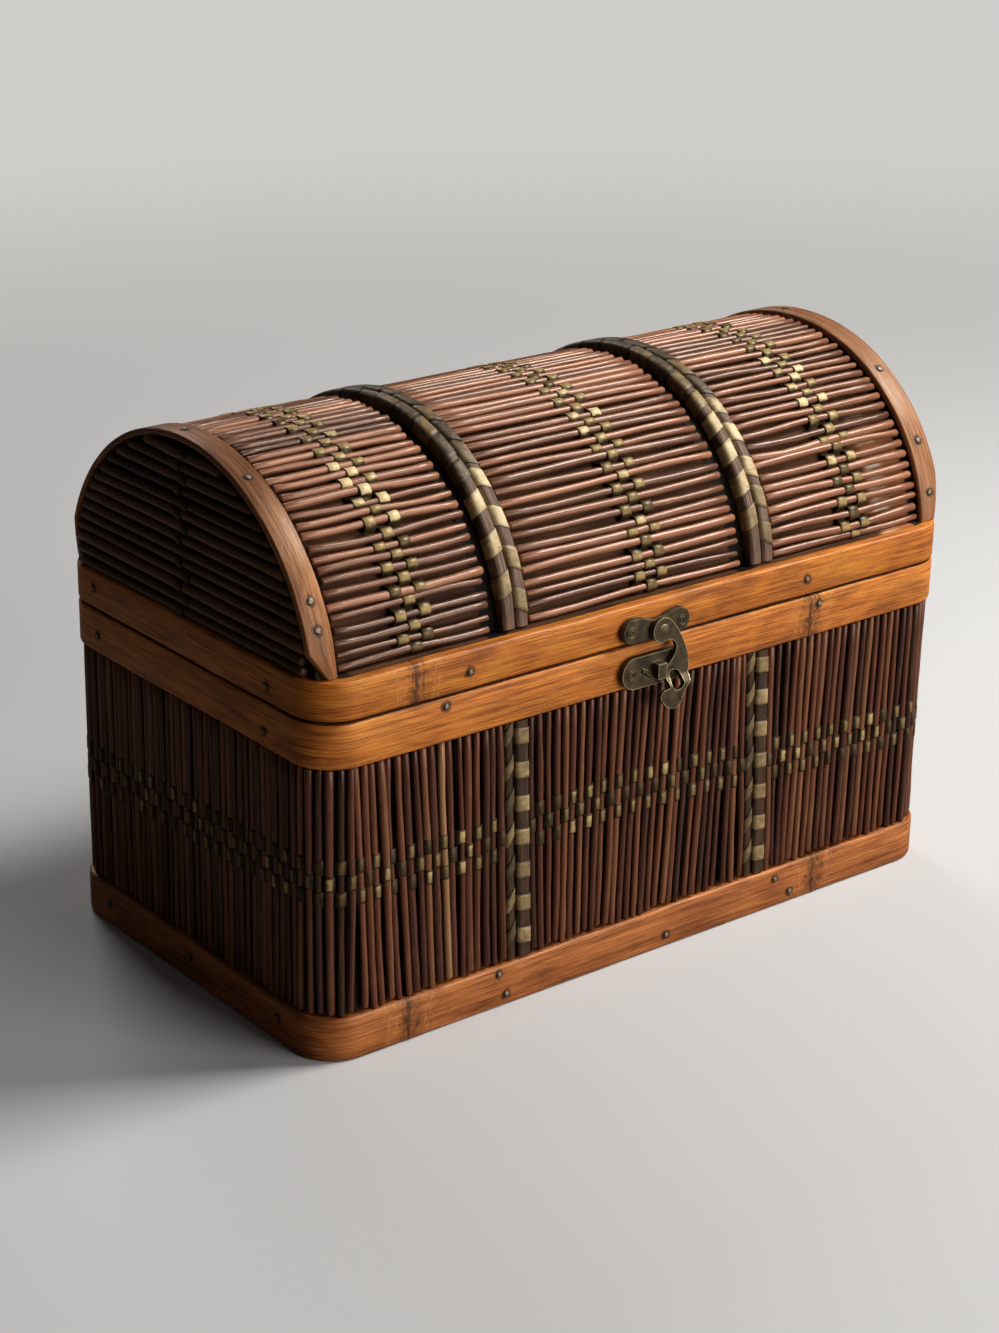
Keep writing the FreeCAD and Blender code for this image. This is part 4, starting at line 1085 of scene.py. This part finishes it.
def add_strap(names, rods, bands, rod_colour, body, node):
    """Add the rods and the blocks of a strap as two pieces, whose names differ in one word."""
    mesh = make_mesh(names.format("rods"), *joined(rods))
    add_piece(mesh, rod_colour, body, "wrapped_strap", [node], sharp=50)
    *shape, values = joined(bands)
    attributes = {"bright": values[:, 0], "joint": values[:, 1]}
    mesh = make_mesh(names.format("blocks"), *shape, attributes)
    add_piece(mesh, block_colour, body, "wrapped_strap", sharp=40)


print("The rods and the blocks of the straps have their finishes")

# %% [markdown]
# Over the dome, the places and the brightness of the golden blocks on the front are read from the
# photograph as angles of the arch. Darker ones go on over the top, and the back repeats the front.

# %% Straps of the dome
strap_lift = 0.1
strap_arch = (dome_half_width + strap_lift, dome_rise + strap_lift, lid_rim_top + 0.3)
strap_total = arch_path(0.0, *strap_arch)[2]
gold_angles = {"left": ([(18.5, 0.62), (30, 0.85), (42, 0.95), (52, 0.3)],
                        [(13.5, 0.55), (25, 0.68), (36.5, 0.95), (48.5, 0.95)]),
               "right": ([(20, 0.6), (30, 0.85), (40, 0.9), (49.5, 0.85), (58, 0.6)],
                         [(14.5, 0.5), (25, 0.6), (34, 0.85), (45, 0.95), (54.5, 0.8)])}


def dome_strap_path(x_middle, drift):
    """A path over the dome at one x, which drifts sideways towards the top."""

    def path(distance):
        point, outward, total = arch_path(distance, *strap_arch)
        point[..., 0] = x_middle + drift * np.sin(np.pi * np.clip(distance / total, 0, 1))
        return point, outward, np.array([1.0, 0.0, 0.0])

    return path


def place_at_angle(degrees):
    """The distance along a dome strap at an angle of the arch, by looking the angle up."""
    half_width, rise, _ = strap_arch
    distance = np.linspace(0, strap_total, 900)
    point = arch_path(distance, *strap_arch)[0]
    angle = np.degrees(np.arctan2((point[:, 2] - arch_centre) / rise, -point[:, 1] / half_width))
    return float(np.interp(degrees, angle, distance))


def strap_blocks(angles, seed):
    """Blocks at the seen angles on the front, dark ones over the top, and a copy on the back."""
    rng = np.random.default_rng(seed)
    blocks = [(place_at_angle(angle), 6.4, bright) for angle, bright in angles]
    top_places = np.arange(blocks[-1][0] + 9.0, strap_total / 2 + 4.0, 9.2)
    blocks += [(place, 8.6, rng.uniform(0.12, 0.42)) for place in top_places]
    return blocks + [(strap_total - place, length, max(0.1, bright - 0.15))
                     for place, length, bright in blocks[:-1]]


for seed, (name, x_middle) in enumerate((("left", -52.0), ("right", 45.0))):
    rods, bands = [], []
    for side, angles in zip((-1, 1), gold_angles[name]):
        path = dome_strap_path(x_middle + side * 2.4, 0.8)
        blocks = strap_blocks(angles, seed * 2 + side + 9)
        rod, band = wrapped_strand(path, 0.0, strap_total, 4.4, 4.0, blocks, -side * 0.42)
        rods.append(rod)
        bands += band
    add_strap("dome_strap_{}_" + name, rods, bands, dome_rod_colour, "lid", "lid_strap_" + name)

# %% [markdown]
# On the front and the back each strap is a wide strand and a thin one, which lean together. The
# wide one carries seven blocks at an even pitch, and the thin one darker ones with steep slants.

# %% Straps of the front and the back
block_heights = 21 + 10.9 * np.arange(7)
wall_span = body_rim_bottom - base_band_top


def wall_strap_path(x_middle, lean, facing):
    """A path up the front (facing -1) or the back (facing 1) of the body."""

    def path(distance):
        shift = lean * (0.5 - distance / wall_span)
        y = np.full_like(distance, facing * (carcass_half_depth + strap_lift))
        point = np.stack([x_middle + shift, y, base_band_top + distance], -1)
        return point, np.array([0.0, facing, 0.0]), np.array([1.0, 0.0, 0.0])

    return path


for node, facing in (("front_straps", -1), ("back_straps", 1)):
    rods, bands = [], []
    for seed, (thin_x, wide_x, lean) in enumerate(strap_places):
        rng = np.random.default_rng(300 + seed + facing)
        wide = [(z - base_band_top, 5.4, rng.uniform(0.5, 0.7)) for z in block_heights]
        thin = [(z - base_band_top + 2, 5.0, rng.uniform(0.2, 0.55)) for z in block_heights]
        for x, width, height, slope, blocks in ((wide_x, 4.7, 3.0, -0.12, wide),
                                                (thin_x, 2.9, 2.8, 1.3, thin)):
            rod, band = wrapped_strand(wall_strap_path(x, lean, facing), 0.4, wall_span - 0.3,
                                       width, height, blocks, slope)
            rods.append(rod)
            bands += band
    add_strap(node + "_{}", rods, bands, wall_rod_colour, "box", node)

# %% [markdown]
# ## Metal
# The clasp is cast or pressed metal with an antique brass finish: dark brown-green in the hollows,
# rubbed bright along the edges. The edge wear compares the true normal with a rounded one.

# %% Metal finishes


def brass_finish(name, dark, rubbed, edge_width):
    """Antique brass: dark, cloudy, and bright where the edges are rubbed."""
    finish = Finish(name)
    place = finish.place()
    cloud = finish.noise(place, (3.2, 3.2, 3.2), detail=4.0)
    grain = finish.noise(place, (0.45, 0.45, 0.45))
    rounded = finish.node("Bevel", {"samples": 8}, {"Radius": edge_width * MM})
    match = finish.measured("DOT_PRODUCT", rounded, finish.node("NewGeometry", output=1))
    wear = finish.fade(1 - match + (cloud - 0.5) * 0.08, 0.012, 0.1)
    colour = finish.ramp(cloud * 0.6 + grain * 0.4, [(0.4, dark), (0.62, paint(94, 80, 54))])
    colour = finish.blend(wear * 0.9, colour, rubbed)
    relief = finish.bump(grain + cloud * 0.6, 0.05, 0.7)
    return finish.surface(colour, 0.5 + grain * 0.16 - wear * 0.08, {
        "Metallic": 0.62, "Normal": relief})


def nail_finish(name, nails):
    """Dull steel nail heads, dark with stain round the edge, with a painted highlight on the crown."""
    finish = Finish(name)
    place = finish.place()
    cloud = finish.noise(place, (0.7, 0.7, 0.7))
    # Painted highlight: the crown of each head is painted light, as a glint.
    painted_crown_glint = finish.fade(finish.nearest(place, nails) + (cloud - 0.5) * 1.2, 1.15, 0.55)
    colour = finish.blend(painted_crown_glint, paint(40, 27, 20), paint(136, 120, 102))
    return finish.surface(colour, 0.4 + cloud * 0.2, {"Metallic": 0.6})


clasp_brass = brass_finish("clasp_brass", paint(52, 44, 32), paint(208, 192, 154), 0.48)
# The rivet's brass is painted lighter than the clasp's, as painted light on its domed head.
lit_rivet_brass = brass_finish("lit_rivet_brass", paint(92, 82, 60), paint(206, 190, 152), 0.5)
screw_brass = brass_finish("screw_brass", paint(66, 57, 42), paint(170, 154, 118), 0.12)
hinge_brass = brass_finish("hinge_brass", paint(58, 49, 33), paint(160, 142, 100), 0.35)
nail_steel = nail_finish("nail_steel", base_nails + body_rim_nails + lid_rim_nails + arch_nails)
print("Four kinds of brass and the nails' steel are ready")

# %% [markdown]
# The clasp and the hinges keep the solid's own shape. Its triangles are merged, flat neighbours are
# dissolved into whole faces, and a bevel rounds the edges, as tumbling does to the real parts.

# %% Rounded copies of the metal parts


def rounded_copy(node, width, body, slot, finish):
    """A welded copy of a solid's mesh with a bevel along its edges, shown in its place."""
    source = nodes[node].data
    points = np.empty(len(source.vertices) * 3, dtype=np.float32)
    source.vertices.foreach_get("co", points)
    source.calc_loop_triangles()
    triangles = np.empty(len(source.loop_triangles) * 3, dtype=np.int32)
    source.loop_triangles.foreach_get("vertices", triangles)
    points = points.reshape(-1, 3).astype(float) / MM
    mesh = make_mesh(node + "_rounded", points, triangles.reshape(-1, 3))
    shape = bmesh.new()
    shape.from_mesh(mesh)
    bmesh.ops.dissolve_limit(shape, angle_limit=math.radians(3), verts=shape.verts,
                             edges=shape.edges)
    shape.to_mesh(mesh)
    shape.free()
    piece = add_piece(mesh, finish, body, slot, [node])
    bevel = piece.modifiers.new("rounded edges", "BEVEL")
    bevel.width = width * MM
    bevel.segments = 3
    bevel.limit_method = "ANGLE"
    bevel.angle_limit = math.radians(35)
    bevel.harden_normals = True


metal_parts = {"latch_plate": (0.35, "lid", "clasp", clasp_brass),
               "catch_plate": (0.3, "box", "clasp", clasp_brass),
               "latch_hook": (0.55, "hook", "clasp", clasp_brass),
               "hook_rivet": (0.35, "lid", "clasp", lit_rivet_brass),
               "hinge_lower_leaves": (0.25, "box", "hinge", hinge_brass),
               "hinge_upper_leaves": (0.25, "lid", "hinge", hinge_brass)}
for node, (width, body, slot, finish) in metal_parts.items():
    rounded_copy(node, width, body, slot, finish)

# %% [markdown]
# A screw head is a profile turned once round its axis: a low dome, a ring groove and a recess. The
# nails of the two strips are turned as well, each along its own direction from the arch.

# %% Turned heads of screws and nails


def turned_heads(places, outward, profile, sides=20):
    """Many heads at once: the profile (radius, height) is turned round the outward direction."""
    outward = np.array(outward, dtype=float)
    side = np.cross(outward, [1.0, 0.0, 0.0])
    side /= np.linalg.norm(side)
    up = np.cross(side, outward)
    angle = np.linspace(0, 2 * np.pi, sides, endpoint=False)
    ring = side * np.cos(angle)[:, None] + up * np.sin(angle)[:, None]
    shape = ring[None] * profile[:, None, :1] + outward * profile[:, None, 1:]
    points = np.array(places)[:, None, None] + shape[None]
    quads = grid_quads(len(profile), sides, around=True)
    return points.reshape(-1, 3), copied(quads, len(places), len(profile) * sides)


def front_heads(node):
    """The foremost point on the axis of each screw of a node."""
    middles = np.array([box_middle(solid) for solid in separate_solids(node)])
    middles[:, 1] = node_box(node)[0][1]
    return middles


screw_profile = np.array([(0, -2.0), (0.8, -2.0), (0.8, -0.35), (1.8, -0.35), (1.76, -0.08),
                          (1.62, 0.0), (1.5, -0.06), (1.35, -0.3), (1.15, -0.3), (1.0, -0.06),
                          (0.85, 0.0), (0.6, -0.02), (0.5, -0.45), (0, -0.45)])
nail_profile = np.array([(0, -1.2), (0.7, -1.2), (0.7, -0.1), (1.15, -0.05), (1.05, 0.2),
                         (0.6, 0.36), (0, 0.4)])
for node, body in (("catch_screws", "box"), ("latch_plate_screws", "lid")):
    mesh = make_mesh(node + "_turned", *turned_heads(front_heads(node), (0, -1, 0), screw_profile))
    add_piece(mesh, screw_brass, body, "screw", [node], sharp=40)
parts = [turned_heads([place], outward, nail_profile, sides=14)
         for name, side in (("left", 1), ("right", -1))
         for place, outward in zip(*arch_nail_places(side, arch_turns[name]))]
mesh = make_mesh("arch_band_nails_turned", *joined(parts))
add_piece(mesh, nail_steel, "lid", "nail", ["arch_band_nails"], sharp=40)

# %% [markdown]
# ## Boards
# Behind the reeds are thin boards stained dark brown. On the dome the stain is lighter and shows
# between the reeds, with the board beside the straps painted almost black as painted shadow.

# %% Stained boards
# Painted shadow: where the board beside each strap and end strip is painted near black.
painted_strap_shadows = ((-59.2, 2.6), (37.6, 2.4), (116.0, 2.6), (-116.0, 2.6))
# Painted light: a patch of lit board near the right end of the dome, with chalk-white flecks in it.
lit_patch_from_x, lit_patch_low, lit_patch_high = 98.0, 136.0, 158.0


def board_finish(name, pale, deep):
    """Stained board: grain along X from stretched noise."""
    finish = Finish(name)
    place = finish.place()
    grain = finish.noise(place, (40.0, 1.6, 1.6), detail=4.0)
    cloud = finish.noise(place, (26.0, 12.0, 12.0), detail=2.0)
    colour = finish.ramp(grain * 0.6 + cloud * 0.4, [(0.38, deep), (0.62, pale)])
    return finish.surface(colour, 0.55 + grain * 0.2, {
        "Normal": finish.bump(grain, 0.15, 0.5), "Specular IOR Level": 0.2})


def dome_board_finish(name):
    """The dome's board: brown, with black painted shadow beside the straps and a patch of painted light
    at the right end.

    Both are on the outside only, where (y / half width)^2 + (height / rise)^2 is about 1.
    """
    finish = Finish(name)
    place = finish.place()
    x, y, z = (finish.part_of(place, axis) for axis in "XYZ")
    height = z - arch_centre
    round_share = y * y * dome_half_width ** -2 + height * height * dome_rise ** -2
    outside = finish.fade(round_share, 0.955, 0.975) * finish.fade(z, lid_rim_top - 1, lid_rim_top)
    grain = finish.noise(place, (30.0, 1.4, 1.4), detail=4.0)
    cloud = finish.noise(place, (18.0, 9.0, 9.0), detail=2.0)
    stops = [(0.38, paint(56, 35, 24)), (0.62, paint(98, 65, 43))]
    colour = finish.ramp(grain * 0.5 + cloud * 0.5, stops)
    # Painted light: the board near the right end is painted orange, as where light falls on it between
    # the reeds.
    side = finish.fade(x + grain * 8.0, lit_patch_from_x, lit_patch_from_x + 5)
    side = side * finish.fade(z, lit_patch_high, lit_patch_low)
    front = finish.fade(y, 0.0, -10.0) * outside
    colour = finish.blend(side * front * 0.9, colour, paint(176, 110, 66))
    chalk = finish.fade(x.away_from(lit_patch_from_x + 2.5) + grain * 5.0, 8.0, 5.0) * front * side
    chalk = chalk * finish.fade(grain, 0.44, 0.56)
    colour = finish.blend(chalk * 0.85, colour, paint(226, 212, 190))
    # Painted shadow of the straps and end strips: the board beside them is painted near black.
    dark = None
    for middle, half in painted_strap_shadows:
        slot = finish.fade(x.away_from(middle), half + 1.5, half)
        dark = slot if dark is None else dark.most(slot)
    colour = finish.blend(dark * outside * 0.97, colour, paint(10, 7, 6))
    return finish.surface(colour, 0.7, {"Specular IOR Level": 0.1})


def dress(names, finish):
    """Give solid pieces a finish."""
    for name in names:
        mesh = nodes[name].data
        mesh.materials.clear()
        mesh.materials.append(finish)
    print(finish.name, "is on", len(names), "solid pieces")


dress(["front_board", "back_board", "left_board", "right_board", "left_end_board",
       "right_end_board", "body_corner_posts", "lid_corner_posts"],
      board_finish("outer_board", paint(42, 25, 20), paint(22, 13, 11)))
dress(["bottom_board"], board_finish("inner_board", paint(122, 84, 58), paint(86, 56, 38)))
dress(["dome_board", "lid_front_rail", "lid_back_rail"], dome_board_finish("dome_board_stain"))
dress(["base_band_nails", "body_rim_nails", "lid_rim_nails"], nail_steel)
dress(["hinge_pins", "hinge_lower_screws", "hinge_upper_screws"], hinge_brass)

# %% [markdown]
# ## Floor, light and camera
# The floor is plain and pale. To the camera alone it turns, far from the box, into the backdrop's
# own colour, so that no horizon shows, and it throws less light back at the box than it shows,
# because the box's shaded side is dark in the photograph.

# %% Floor
floor_radius, floor_corners = 2600.0, 96
floor_gap = 0.05
backdrop_colour = paint(206, 204, 200)
black = (0.0, 0.0, 0.0, 1.0)


def floor_finish():
    """Pale stone near the box, and pure backdrop from 300 mm to 1300 mm away."""
    finish = Finish("pale_floor")
    place = finish.place()
    grain = finish.noise(place, (3.0, 3.0, 3.0), detail=2.0)
    camera_ray = finish.node("LightPath")
    far = camera_ray * finish.fade(finish.measured("LENGTH", place), 300.0, 1300.0)
    stone = finish.blend(camera_ray, paint(128, 120, 112), paint(208, 209, 211))
    return finish.surface(finish.blend(far, stone, black), 0.5 + grain * 0.1, {
        "Specular IOR Level": 0.2, "Emission Color": finish.blend(far, black, backdrop_colour),
        "Emission Strength": 1.0})


angle = np.linspace(0, 2 * np.pi, floor_corners, endpoint=False)
edge = np.stack([floor_radius * np.cos(angle), floor_radius * np.sin(angle), 0 * angle - floor_gap], -1)
floor_mesh = bpy.data.meshes.new("floor")
floor_mesh.from_pydata((edge * MM).tolist(), [], [list(range(floor_corners))])
floor_mesh.materials.append(floor_finish())
floor = bpy.data.objects.new("floor", floor_mesh)
bpy.context.scene.collection.objects.link(floor)
print("The floor is", 2 * floor_radius, "mm across")

# %% [markdown]
# A small lamp high on the right is the window. Two large ones, low in front and high behind, are
# the light that the room gives back, and a faint light comes from all round. A lamp and a camera
# look along their own -Z, so each is stood by writing the three axes of its matrix.

# %% Lamps and the room's light


def stand(thing, place, target, roll=0.0):
    """Stand a lamp or a camera at a place, looking at a target, both in millimetres.

    Its Z points away from the target, its X is level, and both X and Y turn by the roll.
    """
    away = (np.array(place) - np.array(target)) * MM
    away /= np.linalg.norm(away)
    right = np.cross([0.0, 0.0, 1.0], away)
    right /= np.linalg.norm(right)
    up = np.cross(away, right)
    turned_right = right * math.cos(roll) + up * math.sin(roll)
    turned_up = up * math.cos(roll) - right * math.sin(roll)
    rows = np.stack([turned_right, turned_up, away, np.array(place) * MM], axis=1).tolist()
    thing.matrix_world = Matrix(rows + [[0.0, 0.0, 0.0, 1.0]])
    bpy.context.scene.collection.objects.link(thing)


def soft_lamp(name, place, target, size, power, colour):
    """A square area lamp."""
    light = bpy.data.lights.new(name, "AREA")
    light.shape = "SQUARE"
    light.size = size
    light.energy = power
    light.color = colour
    stand(bpy.data.objects.new(name, light), place, target)
    print(name, "gives", power, "W")


soft_lamp("window", (580, -250, 800), (30, 0, 90), 0.36, 10.5, (1.0, 0.97, 0.92))
soft_lamp("room_side", (500, -1400, 420), (0, 0, 50), 1.0, 15.0, (1.0, 0.97, 0.93))
soft_lamp("room_back", (500, 1900, 1500), (0, 0, 60), 0.8, 12.0, (1.0, 0.97, 0.94))
room = Finish("room", bpy.data.worlds)
faint = room.node("Background", None, {"Color": (1.0, 0.97, 0.93, 1.0), "Strength": 0.03})
backdrop = room.node("Background", None, {"Color": backdrop_colour})
choice = room.node("MixShader", None, {0: room.node("LightPath"), 1: faint, 2: backdrop})
room.node("OutputWorld", None, {"Surface": choice})
bpy.context.scene.world = room.owner

# %% [markdown]
# The camera stands where the photograph was taken from. Its place, target, roll and focal length
# were fitted to corners and edges of the box that the photograph shows.

# %% Camera
camera_data = bpy.data.cameras.new("photo_camera")
camera_data.sensor_fit = "AUTO"
camera_data.sensor_width = 36.0
camera_data.lens = 75.3
camera = bpy.data.objects.new("photo_camera", camera_data)
stand(camera, (-524.9, -645.7, 403.7), (-80.79, -92.63, 122.54), roll=math.radians(1.06))
bpy.context.scene.camera = camera
bpy.context.scene.view_settings.view_transform = "Standard"
print("The camera's lens is", camera_data.lens, "mm")
